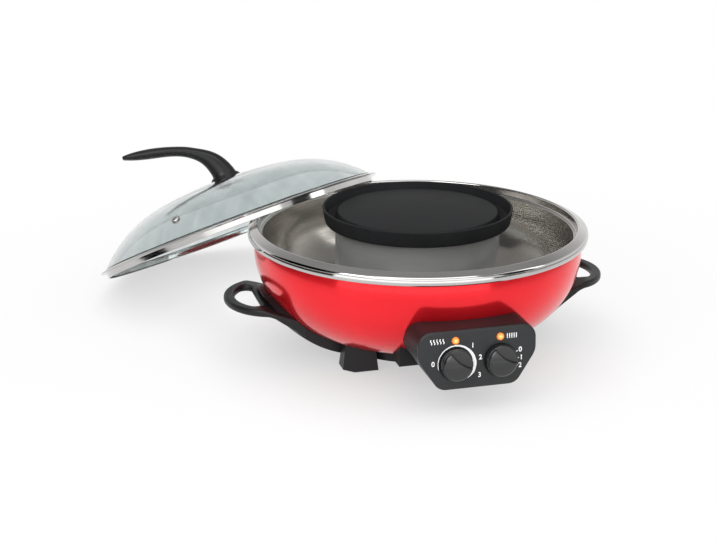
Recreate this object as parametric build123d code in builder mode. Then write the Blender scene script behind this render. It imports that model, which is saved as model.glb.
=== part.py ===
from build123d import *
from math import acos, asin, cos, degrees, radians, sin, sqrt, tan
import os

os.makedirs("parts", exist_ok=True)

# Frame: the pot's axis is Z, Z = 0 is the table, the control panel faces -Y and the handles lie along X.

# Fits, in millimetres.
SEAT_GAP = 0.3  # between pieces that lie on each other and can be lifted apart
RUN_GAP = 0.05  # around a shaft that turns
SLIP_GAP = 0.2  # around a fixed piece in its hole

# Outer shell: a lacquered steel bowl.
SHELL_RADIUS = 193
SHELL_FLOOR = 22  # underside of the bowl above the table
SHELL_FLAT_MARGIN = 1  # flat part of the floor beyond the heater tower's flange
SHELL_SHOULDER_DROP = 28  # the curved flank ends and the upright wall starts this far below the pot's top
SHELL_SHEET = 1.5
SHELL_LIP_ROUND = 2.4
SHELL_LIP_WIDTH = 8
SHELL_HOLE = 14  # for the wires, in the middle of the floor
WINDOW_WIDTH = 64  # for the wires, behind the control box
WINDOW_HEIGHT = 16

# Lift-out pot: a steel ring trough with a chimney in its middle.
RIM_OVERHANG = 7  # beyond the outer shell
RIM_WIDTH = 13
RIM_HEIGHT = 148
RIM_SLOPE = 21
RIM_NOSE_ROUND = 4
RIM_APRON = 13.6  # lower end of the rolled rim below its top
RIM_ROLL = 4.4  # how far the rolled end goes back in
RIM_ROLL_ROUND = 3
MOUTH_ROUND = 2
LEDGE_DEPTH = 9.7
LEDGE_WIDTH = 4.5
LEDGE_ROUND = 1.5
POT_SHEET = 1.2
POT_SHOULDER_DROP = 30
POT_FLOOR = 52
POT_FLAT_WIDTH = 19  # level part of the floor beside the chimney
CHIMNEY_RADIUS = 97
CHIMNEY_FOOT_ROUND = 6
CHIMNEY_SEAT_WIDTH = 9

# Grill pan.
PAN_OVERHANG = 15  # beyond the chimney
PAN_LIFT = 0.7  # foot of the pan above the pot's rim
PAN_HEIGHT = 18.4
PAN_TAPER = 3  # the wall stands this much further in at its foot
PAN_WALL = 2.8
PAN_PLATE = 4.5
PAN_SIDE_DRAFT = 2
PAN_GUTTER_WIDTH = 9.2
PAN_GUTTER_ROUND = 3
PAN_LIP_ROUND = 1
PAN_DOME_RISE = 9
PAN_DOME_CROWN = 3.5
PAN_DOME_DRAFT = 3
PAN_SPIGOT_DEPTH = 7
PAN_SPIGOT_WALL = 3
PAN_SPIGOT_ROUND = 0.8

# Lid, in its own frame: the tip of its steel flange lies at height 0.
LID_OVERLAP = 4.2  # the flange reaches this far over the pot's mouth
LID_FLANGE = 2.2
LID_LEAF_RISE = 1.9
LID_SKIRT_CLEARANCE = 2.8  # between the skirt and the pot's mouth
LID_SKIRT_DEPTH = 9.2
LID_LIP_WIDTH = 2
LID_SHEET = 0.9
LID_FOLD_ROUND = 0.6
LID_BEND_ROUND = 0.4
GASKET_HEIGHT = 0.9
GLASS_THICKNESS = 4
GLASS_LAND = 2.5  # where the dome turns down into the ring
DOME_HEIGHT = 61.5
DOME_CROWN_RADIUS = 520
DOME_SHOULDER_RADIUS = 90
VENT_INSET = 27.1  # from the edge of the glass
VENT_TURN = 109  # about the lid's axis, from its lowest point
VENT_RADIUS = 5.5
VENT_TUBE_RADIUS = 3.4
VENT_HOLE = 2.6
VENT_BRIM = 1
LID_CONTACT = 0.8031  # how far up its lower half the lid lies on the pot's rim, in lid radii from its middle
LEAN_AZIMUTH = 126.3

# Lid handle, along its own direction and up from the flange.
HANDLE_TURN = 46.7
COLLAR_LENGTH = 49
COLLAR_WIDTH = 34
COLLAR_TOP_LENGTH = 35
COLLAR_TOP_WIDTH = 25
COLLAR_HEIGHT = 4.5  # above the dome's crown
COLLAR_SHIFT = -4
COLLAR_SKIRT = 4.5  # how far the collar reaches down round the crown
GRIP_REACH = 113
GRIP_RISE = 66.4
GRIP_THICKNESS = 33
GRIP_WIDTH = 24
GRIP_TIP_ROUND = 1.5
# The grip from the collar to its tip: distance out, height, thickness and width, as parts of those sizes.
GRIP_STATIONS = [
    (-0.031, 0, 1, 1),
    (-0.022, 0.105, 0.88, 0.92),
    (0.013, 0.256, 0.79, 0.875),
    (0.08, 0.429, 0.636, 0.833),
    (0.164, 0.557, 0.5, 0.833),
    (0.27, 0.675, 0.424, 0.854),
    (0.407, 0.776, 0.394, 0.875),
    (0.575, 0.858, 0.406, 0.875),
    (0.779, 0.931, 0.382, 0.833),
    (0.92, 0.976, 0.273, 0.708),
    (1, 1, 0.152, 0.5),
]

# Side handles.
HANDLE_PROJECTION = 39.5  # beyond the bowl
HANDLE_BAR = 12.5
HANDLE_TOP = 74
HANDLE_THICKNESS = 8.5
HANDLE_ROUND = 3
LOOP_INSET = 15  # middle of the ellipse that the loop follows, inside the bowl's radius
LOOP_HALF_WIDTH = 60.5
LOOP_ROOT_INSET = 43  # cut off by the bowl
LOOP_ROOT_TOP = 57.5
LOOP_ROOT_FOOT = 38
LOOP_SHOULDER = 4  # the loop is level from here outwards
LOOP_KNEE_INSET = 5
LOOP_KNEE_ROUND = 20
HOLE_OUTSET = 2  # inner side of the finger hole beyond the bowl
HOLE_ROUND = 7
WING_TOP = 81
WING_SHOULDER = 60  # the arched top of the arm comes down to here at its sides
WING_THICKNESS = 6
WING_SAG = 7  # added thickness at the foot
WING_FOOT_HALF_WIDTH = 57
WING_TRAY_GAP = 2
HANDLE_SCREW_SPREAD = 22
HANDLE_SCREW_HEIGHT = 78

# Base tray and feet.
TRAY_OVERHANG = 16  # beyond the flat part of the bowl
TRAY_BOTTOM = 10
TRAY_PLATE = 3
TRAY_RIM = 3
TRAY_RIB = 2.5
TRAY_RIBS = 8
TRAY_BOSS_RADIUS = 20
TRAY_BOSS_BOTTOM = 3.5  # the boss round the wires' hole stands lower than the ribs
TRAY_SLOTS = 16
TRAY_SLOT_RADIUS = 62
TRAY_SLOT_LENGTH = 26
TRAY_SLOT_WIDTH = 4
FOOT_FRONT = 89
FOOT_SIDE = 111
FOOT_INNER = 72
FOOT_BACK = 58.5
FOOT_CHAMFER = 11
FOOT_TAPER = 6
FOOT_TOP = 40
PAD_SIDE = 93
PAD_FRONT = 75
PAD_RADIUS = 9
PAD_HEIGHT = 3
PAD_SHOW = 1.6
PAD_CHAMFER = 0.5

# Control box.
PANEL_STANDOFF = 27  # front of the panel beyond the bowl
PANEL_CENTRE = 60
PANEL_TILT = 5
PANEL_TOP_WIDTH = 132
PANEL_FOOT_WIDTH = 86
PANEL_HALF_HEIGHT = 32.5
PANEL_WAIST = 2  # the sides start to slope in this far above the panel's centre
PANEL_TOP_ROUND = 15
PANEL_SIDE_ROUND = 22
PANEL_FOOT_ROUND = 15
PANEL_THICKNESS = 4
PANEL_EDGE = 2.4
HOUSING_WALL = 2.5
HOUSING_CAVITY = 20
HOUSING_DEPTH = 100
NECK_HALF_WIDTH = 66
NECK_FRONT_INSET = 42  # inside the bowl's radius
NECK_BACK_INSET = 67
NECK_BOTTOM = 29.5

# Knobs, lamps and what is behind them.
KNOB_PITCH = 50
KNOB_DROP = 4  # below the panel's centre
KNOB_RADIUS = 17.4
KNOB_BASE_HEIGHT = 9
KNOB_GRIP_HEIGHT = 6.5
KNOB_GRIP_INSET = 0.8
KNOB_GRIP_TURN = 135  # where the grip's edge starts; it ends at the pointer
KNOB_POINTER_WIDTH = 0.1  # of the radius, on the flat side of the pointer
KNOB_ROUND = 1.8
KNOB_BASE_ROUND = 1
KNOB_MARGIN = 1.2
RECESS_DEPTH = 1.4
KNOB_LIFT = 0.6
KNOB_WALL = 2.4
KNOB_CAVITY = 6
KNOB_BOSS_RADIUS = 5.5
KNOB_BOSS_DEPTH = 3.6
SHAFT_RADIUS = 3
SHAFT_ENGAGEMENT = 5.3
SHAFT_LENGTH = 17
BUSH_RADIUS = 4.8
BUSH_STANDOUT = 2.6
NUT_ACROSS_FLATS = 13
NUT_HEIGHT = 2
CONTROL_RADIUS = 14.5
CONTROL_DEPTH = 17
TAB_WIDTH = 6
TAB_THICKNESS = 0.8
TAB_LENGTH = 2.4
TAB_PITCH = 12
LAMP_RISE = 25.5  # above the knobs
LAMP_RADIUS = 4.3
LAMP_DOME = 1.6
LAMP_ROUND = 1.3
LAMP_STEM_RADIUS = 3.3
LAMP_BODY_RADIUS = 4
LAMP_BODY_DEPTH = 12
POT_KNOB_TURN = -18
GRILL_KNOB_TURN = -15

# Heaters.
HEATER_TUBE = 3.3
POT_HEATER_OFFSET = 15  # outside the chimney
GRILL_HEATER_INSET = 20  # inside the tower
POT_HEATER_OPENING = 16  # angle between the two ends of the ring
GRILL_HEATER_OPENING = 30
POT_HEATER_TAIL = 14
GRILL_HEATER_TAIL = 24
TAIL_CLEARANCE = 2
TOWER_CLEARANCE = 15.8  # inside the chimney
TOWER_SHEET = 1.2
TOWER_FLANGE = 7
TOWER_DECK_DROP = 14  # deck of the tower below the grill heater
TOWER_HOLE = 10
REFLECTOR_LAP = 1  # under the chimney
REFLECTOR_CLEARANCE = 11.2  # from the bowl
REFLECTOR_LIP = 5
REFLECTOR_SHEET = 0.8
REFLECTOR_DROP = 10  # below the pot heater
DISH_INNER = 16
DISH_INSET = 6  # inside the tower
BRACKET_COUNT = 3
BRACKET_TURN = 90
BRACKET_WIDTH = 9
BRACKET_SHOULDER = 2.5
BRACKET_SHEET = 1.2
BLOCK_LENGTH = 42
BLOCK_WIDTH = 18
BLOCK_HEIGHT = 13
BLOCK_WAYS = 5
BLOCK_HOLE = 2

# Fasteners.
SCREW_HEAD_RADIUS = 3.6
SCREW_HEAD_HEIGHT = 2.4
SCREW_RADIUS = 1.75
SCREW_LENGTH = 12
SCREW_SEAT = 3.4  # between a head inside the bowl and the bowl's sloping wall
HOUSING_SCREW_SPREAD = 45
TRAY_SCREW_TURN = 22.5
TRAY_SCREWS = 4
LID_SCREW_LENGTH = 20
LID_SCREW_RADIUS = 2.4
LID_SCREW_HEAD_RADIUS = 5
LID_WASHER_RADIUS = 9
LID_WASHER_HEIGHT = 1.2

# Cord inlet in the back of the tray.
GLAND_RADIUS = 5.4
GLAND_BORE = 3.2
GLAND_BRIM = 1.4
GLAND_HEIGHT = 16
GLAND_REACH = 1.6

# Angles.
QUARTER_TURN = 90
HALF_TURN = 180
FULL_TURN = 360
DOWNWARD = 270  # direction in which an arc starts below its centre

# Sizes that follow from those above.
rim_radius = SHELL_RADIUS + RIM_OVERHANG
mouth_radius = rim_radius - RIM_WIDTH
ledge_height = RIM_HEIGHT - LEDGE_DEPTH
pot_wall = mouth_radius - LEDGE_WIDTH
pot_shoulder = RIM_HEIGHT - POT_SHOULDER_DROP
pot_flat_radius = CHIMNEY_RADIUS + POT_FLAT_WIDTH
seat_inner = CHIMNEY_RADIUS - CHIMNEY_SEAT_WIDTH
tower_radius = CHIMNEY_RADIUS - POT_SHEET - TOWER_CLEARANCE
pot_heater_radius = CHIMNEY_RADIUS + POT_HEATER_OFFSET
grill_heater_radius = tower_radius - GRILL_HEATER_INSET
shell_top = ledge_height - POT_SHEET - SEAT_GAP
shell_shoulder = RIM_HEIGHT - SHELL_SHOULDER_DROP
shell_flat_radius = tower_radius + TOWER_FLANGE + SHELL_FLAT_MARGIN
pan_radius = CHIMNEY_RADIUS + PAN_OVERHANG
pan_foot = RIM_HEIGHT + PAN_LIFT
seat_height = pan_foot - SEAT_GAP
pan_top = pan_foot + PAN_HEIGHT
pan_foot_radius = pan_radius - PAN_TAPER
dome_top = pan_foot + PAN_PLATE + PAN_DOME_RISE + PAN_DOME_CROWN
grill_underside = pan_foot + PAN_DOME_RISE
grill_heater_height = grill_underside - SEAT_GAP - HEATER_TUBE
pot_heater_height = POT_FLOOR - POT_SHEET - SEAT_GAP - HEATER_TUBE
ring_height = pot_heater_height - REFLECTOR_DROP
tower_deck = grill_heater_height - TOWER_DECK_DROP
dish_height = tower_deck + SEAT_GAP
inside_floor = SHELL_FLOOR + SHELL_SHEET
lid_radius = mouth_radius + LID_OVERLAP
skirt_radius = mouth_radius - LID_SKIRT_CLEARANCE
skirt_inner = skirt_radius - LID_SHEET
glass_radius = skirt_inner - SLIP_GAP
glass_foot = GASKET_HEIGHT + LID_SHEET - LID_SKIRT_DEPTH
vent_spread = glass_radius - VENT_INSET
collar_top = DOME_HEIGHT + COLLAR_HEIGHT
tray_top = SHELL_FLOOR - SEAT_GAP
tray_radius = shell_flat_radius + TRAY_OVERHANG
handle_reach = SHELL_RADIUS + HANDLE_PROJECTION
loop_centre = SHELL_RADIUS - LOOP_INSET
loop_root = SHELL_RADIUS - LOOP_ROOT_INSET
hole_inner = SHELL_RADIUS + HOLE_OUTSET
panel_reach = SHELL_RADIUS + PANEL_STANDOFF
neck_front = SHELL_RADIUS - NECK_FRONT_INSET
neck_back = SHELL_RADIUS - NECK_BACK_INSET
handle_screw_sides = (-HANDLE_SCREW_SPREAD, HANDLE_SCREW_SPREAD)
housing_screw_sides = (-HOUSING_SCREW_SPREAD, HOUSING_SCREW_SPREAD)
tray_screw_radius = tower_radius + TOWER_FLANGE / 2
foot_corners = [
    (FOOT_INNER, FOOT_BACK),
    (FOOT_SIDE, FOOT_BACK),
    (FOOT_SIDE, FOOT_FRONT - FOOT_CHAMFER),
    (FOOT_SIDE - FOOT_CHAMFER, FOOT_FRONT),
    (FOOT_INNER, FOOT_FRONT),
]
pad_centres = [(x, y) for x in (-PAD_SIDE, PAD_SIDE) for y in (-PAD_FRONT, PAD_FRONT)]
panel_plane = Plane(
    origin=(0, -panel_reach, PANEL_CENTRE),
    x_dir=(1, 0, 0),
    z_dir=(0, -cos(radians(PANEL_TILT)), sin(radians(PANEL_TILT))),
)
knob_spots = [(-KNOB_PITCH / 2, -KNOB_DROP), (KNOB_PITCH / 2, -KNOB_DROP)]
lamp_spots = [(x, y + LAMP_RISE) for x, y in knob_spots]
knob_back = KNOB_LIFT - RECESS_DEPTH
boss_back = knob_back + KNOB_CAVITY - KNOB_BOSS_DEPTH
shaft_end = boss_back + SHAFT_ENGAGEMENT


def shell_reach(height, side, depth):
    """Distance from the pot's axis plane to the bowl's wall at a height and sideways offset."""
    rise = (shell_shoulder - height) / (shell_shoulder - SHELL_FLOOR - depth)
    radius = shell_flat_radius + (SHELL_RADIUS - shell_flat_radius - depth) * sqrt(1 - rise**2)
    return sqrt(radius**2 - side**2)


handle_screw_seat = shell_reach(HANDLE_SCREW_HEIGHT, HANDLE_SCREW_SPREAD, SHELL_SHEET) - SCREW_SEAT
housing_screw_seat = shell_reach(PANEL_CENTRE, HOUSING_SCREW_SPREAD, SHELL_SHEET) - SCREW_SEAT


def save(piece, name):
    """Label a finished piece and write it as a STEP file of that name."""
    piece.part.label = name
    export_step(piece.part, f"parts/{name}.step")


def bowl_outline(growth, top, sag=0):
    """Draw the closed half section of the shell's outside, grown outwards and, by `sag`, further down."""
    bottom = SHELL_FLOOR - growth - sag
    flank = EllipticalCenterArc(
        (shell_flat_radius, shell_shoulder),
        SHELL_RADIUS - shell_flat_radius + growth,
        shell_shoulder - bottom,
        DOWNWARD,
        arc_size=QUARTER_TURN,
    )
    Polyline(flank @ 0, (0, bottom), (0, top), (SHELL_RADIUS + growth, top), flank @ 1)


# Space that everything fitted round the bowl leaves free for it.
with BuildPart() as bowl_space:
    with BuildSketch(Plane.XZ):
        with BuildLine():
            bowl_outline(SEAT_GAP, RIM_HEIGHT)
        make_face()
    revolve(axis=Axis.Z)


# Outer shell ---------------------------------------------------------------------------------------------


def shell_line(depth):
    """Draw the shell's half section, `depth` inside its lacquered face, and return its two ends."""
    flank = EllipticalCenterArc(
        (shell_flat_radius, shell_shoulder),
        SHELL_RADIUS - shell_flat_radius - depth,
        shell_shoulder - SHELL_FLOOR - depth,
        DOWNWARD,
        arc_size=QUARTER_TURN,
    )
    floor = Line(flank @ 0, (SHELL_HOLE, SHELL_FLOOR + depth))
    lip = FilletPolyline(
        flank @ 1,
        (SHELL_RADIUS - depth, shell_top - depth),
        (SHELL_RADIUS - SHELL_LIP_WIDTH, shell_top - depth),
        radius=SHELL_LIP_ROUND - depth,
    )
    return floor @ 1, lip @ 1


with BuildPart() as outer_shell:
    with BuildSketch(Plane.XZ):
        with BuildLine():
            outside = shell_line(0)
            inside = shell_line(SHELL_SHEET)
            Line(outside[0], inside[0])
            Line(outside[1], inside[1])
        make_face()
    revolve(axis=Axis.Z)
    with BuildSketch(Plane.XZ):
        with Locations((0, PANEL_CENTRE)):
            Rectangle(WINDOW_WIDTH, WINDOW_HEIGHT)
            with Locations(*[(side, 0) for side in housing_screw_sides]):
                Circle(SCREW_RADIUS + SLIP_GAP)
    extrude(amount=SHELL_RADIUS, mode=Mode.SUBTRACT)
    with BuildSketch(Plane.YZ):
        with Locations(*[(side, HANDLE_SCREW_HEIGHT) for side in handle_screw_sides]):
            Circle(SCREW_RADIUS + SLIP_GAP)
    extrude(amount=SHELL_RADIUS, both=True, mode=Mode.SUBTRACT)
    with BuildSketch():
        with PolarLocations(tray_screw_radius, TRAY_SCREWS, TRAY_SCREW_TURN):
            Circle(SCREW_RADIUS + SLIP_GAP)
    extrude(amount=POT_FLOOR, mode=Mode.SUBTRACT)
save(outer_shell, "outer_shell")


# Inner pot -----------------------------------------------------------------------------------------------


def pot_line(depth):
    """Draw the pot's half section, `depth` under its polished face, and return its two ends."""
    slope = radians(RIM_SLOPE)
    fall = depth / cos(slope)
    peak = RIM_HEIGHT - MOUTH_ROUND + MOUTH_ROUND / cos(slope) + MOUTH_ROUND * tan(slope)
    rim_foot = RIM_HEIGHT - RIM_APRON + depth
    nose = peak - fall - tan(slope) * (rim_radius - depth - mouth_radius)
    flank = EllipticalCenterArc(
        (pot_flat_radius, pot_shoulder),
        pot_wall - pot_flat_radius + depth,
        pot_shoulder - POT_FLOOR + depth,
        DOWNWARD,
        arc_size=QUARTER_TURN,
    )
    rim = FilletPolyline(
        (rim_radius - RIM_ROLL, rim_foot),
        (rim_radius - depth, rim_foot),
        (rim_radius - depth, nose),
        (mouth_radius + depth, peak - fall - tan(slope) * depth),
        (mouth_radius + depth, ledge_height - depth),
        (pot_wall + depth, ledge_height - depth),
        flank @ 1,
        radius=[
            RIM_ROLL_ROUND - depth,
            RIM_NOSE_ROUND - depth,
            MOUTH_ROUND - depth,
            LEDGE_ROUND + depth,
            LEDGE_ROUND - depth,
        ],
    )
    chimney = FilletPolyline(
        flank @ 0,
        (CHIMNEY_RADIUS - depth, POT_FLOOR - depth),
        (CHIMNEY_RADIUS - depth, seat_height - depth),
        (seat_inner, seat_height - depth),
        radius=[CHIMNEY_FOOT_ROUND + depth, LEDGE_ROUND - depth],
    )
    return rim @ 0, chimney @ 1


with BuildPart() as inner_pot:
    with BuildSketch(Plane.XZ):
        with BuildLine():
            polished = pot_line(0)
            hidden = pot_line(POT_SHEET)
            Line(polished[0], hidden[0])
            Line(polished[1], hidden[1])
        make_face()
    revolve(axis=Axis.Z)
save(inner_pot, "inner_pot")


# Grill pan -----------------------------------------------------------------------------------------------

spigot_radius = seat_inner - SEAT_GAP - PAN_SIDE_DRAFT / 2
gutter = pan_foot + PAN_PLATE
dome_edge = gutter + PAN_DOME_RISE
gutter_outer = pan_foot_radius - PAN_WALL
dome_radius = gutter_outer - PAN_GUTTER_WIDTH

with BuildPart() as grill_pan:
    with BuildSketch(Plane.XZ):
        with BuildLine():
            crown = TangentArc((0, dome_top), (dome_radius - PAN_DOME_DRAFT, dome_edge), tangent=(1, 0))
            body = FilletPolyline(
                crown @ 1,
                (dome_radius, gutter),
                (gutter_outer, gutter),
                (pan_radius - PAN_WALL, pan_top),
                (pan_radius, pan_top),
                (pan_foot_radius, pan_foot),
                (spigot_radius, pan_foot),
                (spigot_radius, pan_foot - PAN_SPIGOT_DEPTH),
                (spigot_radius - PAN_SPIGOT_WALL, pan_foot - PAN_SPIGOT_DEPTH),
                (spigot_radius - PAN_SPIGOT_WALL - PAN_SIDE_DRAFT, grill_underside),
                (0, grill_underside),
                radius=[
                    PAN_GUTTER_ROUND / 2,
                    PAN_GUTTER_ROUND,
                    PAN_LIP_ROUND,
                    PAN_LIP_ROUND,
                    PAN_GUTTER_ROUND,
                    0,
                    PAN_SPIGOT_ROUND,
                    PAN_SPIGOT_ROUND,
                    PAN_SIDE_DRAFT,
                ],
            )
            Line(body @ 1, crown @ 0)
        make_face()
    revolve(axis=Axis.Z)
save(grill_pan, "grill_pan")


# Lid -----------------------------------------------------------------------------------------------------

# The lid leans with its low edge on the table and its skirt's inner edge on the pot's rim. Its tilt puts
# that edge at the rim's height where the two touch.
lip_radius = skirt_radius - LID_LIP_WIDTH
contact_run = skirt_radius + LID_CONTACT * lip_radius
tilt = asin(RIM_HEIGHT / contact_run)
lean = Vector(cos(radians(LEAN_AZIMUTH)), sin(radians(LEAN_AZIMUTH)), 0)
lid_height = SEAT_GAP + skirt_radius * sin(tilt) + LID_SKIRT_DEPTH * cos(tilt)


def reach_over_rim(edge_radius, edge_height, rim_radius, rim_height):
    """Distance of the lid's centre from the pot's axis where one edge of it just clears one rim circle.

    The edge is a circle about the lid's axis; the rim circle is level and centred on the pot's axis.
    """
    climb = lid_height + edge_height * cos(tilt) - rim_height - SEAT_GAP
    down = climb / (edge_radius * sin(tilt))
    across = edge_radius * sqrt(1 - down**2)
    return sqrt(rim_radius**2 - across**2) - edge_radius * down * cos(tilt) - edge_height * sin(tilt)


rim_crest = mouth_radius + MOUTH_ROUND
lid_edges = [
    (skirt_radius, -LID_SKIRT_DEPTH),
    (lip_radius, -LID_SKIRT_DEPTH),
    (lid_radius, -LID_FLANGE),
]
lid_reach = max(reach_over_rim(radius, height, rim_crest, RIM_HEIGHT) for radius, height in lid_edges)
lid_plane = Plane(
    origin=lean * lid_reach + Vector(0, 0, lid_height),
    x_dir=lean * cos(tilt) - Vector(0, 0, sin(tilt)),
    z_dir=lean * sin(tilt) + Vector(0, 0, cos(tilt)),
)
lid_section = Plane(origin=lid_plane.origin, x_dir=lid_plane.x_dir, z_dir=-lid_plane.y_dir)
lid_axis = Axis(lid_plane.origin, lid_plane.z_dir)

# The dome is a flat crown arc and a tighter shoulder arc that meets it without a kink.
crown_turn = asin(DOME_SHOULDER_RADIUS / DOME_CROWN_RADIUS)
crown_normal = Vector(sin(crown_turn), cos(crown_turn))
dome_joint = Vector(0, DOME_HEIGHT - DOME_CROWN_RADIUS) + crown_normal * DOME_CROWN_RADIUS
dome_land = Vector(glass_radius, GLASS_LAND)
dome_run = dome_land - dome_joint
shoulder_radius = -dome_run.dot(dome_run) / (2 * dome_run.dot(crown_normal))
shoulder_centre = dome_joint - crown_normal * shoulder_radius


def dome_line(depth):
    """Draw the dome's half section, `depth` under its outside, and return its two ends."""
    crown = TangentArc((0, DOME_HEIGHT - depth), dome_joint - crown_normal * depth, tangent=(1, 0))
    land = shoulder_centre + (dome_land - shoulder_centre) * (1 - depth / shoulder_radius)
    shoulder = TangentArc(crown @ 1, land, tangent=crown % 1)
    edge = Line(shoulder @ 1, (glass_radius - depth, glass_foot))
    return crown @ 0, edge @ 1


vent_turn = asin((vent_spread - shoulder_centre.X) / shoulder_radius)
vent_height = shoulder_centre.Y + shoulder_radius * cos(vent_turn)
vent_turn_location = Location((vent_spread, 0, vent_height), (0, degrees(vent_turn), 0))
vent_plane = Plane(lid_plane.location * Rotation(0, 0, VENT_TURN) * vent_turn_location)
handle_plane = Plane(lid_plane.location * Rotation(0, 0, HANDLE_TURN))

with BuildPart() as lid_glass:
    with BuildSketch(lid_section):
        with BuildLine():
            outside = dome_line(0)
            inside = dome_line(GLASS_THICKNESS)
            Line(outside[0], inside[0])
            Line(outside[1], inside[1])
        make_face()
    revolve(axis=lid_axis)
    with BuildSketch(lid_plane):
        Circle(LID_SCREW_RADIUS + SLIP_GAP)
    extrude(amount=DOME_HEIGHT * 2, mode=Mode.SUBTRACT)
    with BuildSketch(vent_plane):
        Circle(VENT_TUBE_RADIUS + SLIP_GAP)
    extrude(amount=GLASS_THICKNESS * 2, both=True, mode=Mode.SUBTRACT)
save(lid_glass, "lid_glass")

with BuildPart() as lid_rim:
    with BuildSketch(lid_section):
        with BuildLine():
            FilletPolyline(
                (skirt_inner, LID_LEAF_RISE),
                (lid_radius - LID_SHEET, 0),
                (lid_radius, -LID_SHEET),
                (lid_radius - LID_SHEET, -LID_FLANGE),
                (skirt_radius, -LID_FLANGE),
                (skirt_radius, -LID_SKIRT_DEPTH),
                (lip_radius, -LID_SKIRT_DEPTH),
                (lip_radius, LID_SHEET - LID_SKIRT_DEPTH),
                (skirt_inner, LID_SHEET - LID_SKIRT_DEPTH),
                radius=[
                    0,
                    LID_FOLD_ROUND,
                    LID_BEND_ROUND,
                    LID_FOLD_ROUND,
                    LID_BEND_ROUND,
                    LID_FOLD_ROUND,
                    0,
                    0,
                    0,
                ],
                close=True,
            )
        make_face()
    revolve(axis=lid_axis)
save(lid_rim, "lid_rim")

with BuildPart() as lid_gasket:
    with BuildSketch(lid_plane.offset(LID_SHEET - LID_SKIRT_DEPTH)):
        Circle(skirt_inner - SLIP_GAP)
        Circle(lip_radius, mode=Mode.SUBTRACT)
    extrude(amount=GASKET_HEIGHT)
save(lid_gasket, "lid_gasket")

with BuildPart() as lid_vent:
    with BuildSketch(vent_plane):
        Circle(VENT_RADIUS)
    extrude(amount=VENT_BRIM)
    brim = lid_vent.edges().sort_by(Axis(vent_plane.origin, vent_plane.z_dir))[-1]
    chamfer(brim, VENT_BRIM / 2)
    with BuildSketch(vent_plane):
        Circle(VENT_TUBE_RADIUS)
    extrude(amount=-GLASS_THICKNESS - VENT_BRIM)
    with BuildSketch(vent_plane.offset(-GLASS_THICKNESS - SLIP_GAP)):
        Circle(VENT_RADIUS)
    extrude(amount=-VENT_BRIM)
    with BuildSketch(vent_plane):
        Circle(VENT_HOLE)
    extrude(amount=GLASS_THICKNESS * 2, both=True, mode=Mode.SUBTRACT)
save(lid_vent, "lid_vent")

# Space the dome takes, for what is seated on it.
with BuildPart() as dome_space:
    with BuildSketch(lid_section):
        with BuildLine():
            outside = dome_line(0)
            Polyline(outside[0], (0, glass_foot), outside[1])
        make_face()
    revolve(axis=lid_axis)

with BuildPart() as lid_handle_base:
    with BuildSketch(handle_plane.offset(DOME_HEIGHT - COLLAR_SKIRT)):
        with Locations((COLLAR_SHIFT, 0)):
            Ellipse(COLLAR_LENGTH / 2, COLLAR_WIDTH / 2)
    with BuildSketch(handle_plane.offset(collar_top)):
        with Locations((COLLAR_SHIFT, 0)):
            Ellipse(COLLAR_TOP_LENGTH / 2, COLLAR_TOP_WIDTH / 2)
    loft()
    add(dome_space.part, mode=Mode.SUBTRACT)
    with BuildSketch(lid_plane):
        Circle(LID_SCREW_RADIUS + SLIP_GAP)
    extrude(amount=collar_top, mode=Mode.SUBTRACT)
save(lid_handle_base, "lid_handle_base")


grip_line = [Vector(GRIP_REACH * station[0], GRIP_RISE * station[1]) for station in GRIP_STATIONS]


def grip_plane(index):
    """Plane across the grip at one of its stations; its x direction is the grip's thickness."""
    here = grip_line[index]
    ahead = grip_line[min(index + 1, len(grip_line) - 1)]
    along = (ahead - grip_line[index - 1]).normalized() if index else Vector(0, 1)
    origin = handle_plane.from_local_coords(Vector(here.X, 0, collar_top + here.Y))
    direction = handle_plane.x_dir * along.X + handle_plane.z_dir * along.Y
    return Plane(origin=origin, x_dir=handle_plane.y_dir.cross(direction), z_dir=direction)


with BuildPart() as lid_handle:
    for index, (_, _, thickness, width) in enumerate(GRIP_STATIONS):
        with BuildSketch(grip_plane(index)):
            Ellipse(GRIP_THICKNESS * thickness / 2, GRIP_WIDTH * width / 2)
    loft()
    fillet(lid_handle.faces().sort_by(SortBy.AREA)[0].edges(), GRIP_TIP_ROUND)
    with BuildSketch(lid_plane.offset(DOME_HEIGHT)):
        Circle(LID_SCREW_RADIUS)
    extrude(amount=LID_SCREW_LENGTH, mode=Mode.SUBTRACT)
save(lid_handle, "lid_handle")

with BuildPart() as lid_washer:
    with BuildSketch(lid_plane.offset(DOME_HEIGHT - GLASS_THICKNESS - SLIP_GAP)):
        Circle(LID_WASHER_RADIUS)
        Circle(LID_SCREW_RADIUS + SLIP_GAP, mode=Mode.SUBTRACT)
    extrude(amount=-LID_WASHER_HEIGHT)
save(lid_washer, "lid_washer")

with BuildPart() as lid_screw:
    screw_seat = DOME_HEIGHT - GLASS_THICKNESS - SLIP_GAP - LID_WASHER_HEIGHT
    with BuildSketch(lid_plane.offset(screw_seat)):
        Circle(LID_SCREW_HEAD_RADIUS)
    extrude(amount=-SCREW_HEAD_HEIGHT)
    with BuildSketch(lid_plane.offset(screw_seat)):
        Circle(LID_SCREW_RADIUS)
    extrude(amount=LID_SCREW_LENGTH)
save(lid_screw, "lid_screw")


# Side handles --------------------------------------------------------------------------------------------

# Space of the arm that hugs the bowl from its shoulder down to its foot.
with BuildPart() as wing_space:
    with BuildSketch(Plane.XZ):
        with BuildLine():
            bowl_outline(SEAT_GAP + WING_THICKNESS, RIM_HEIGHT, WING_SAG)
        make_face()
    revolve(axis=Axis.Z)

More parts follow.
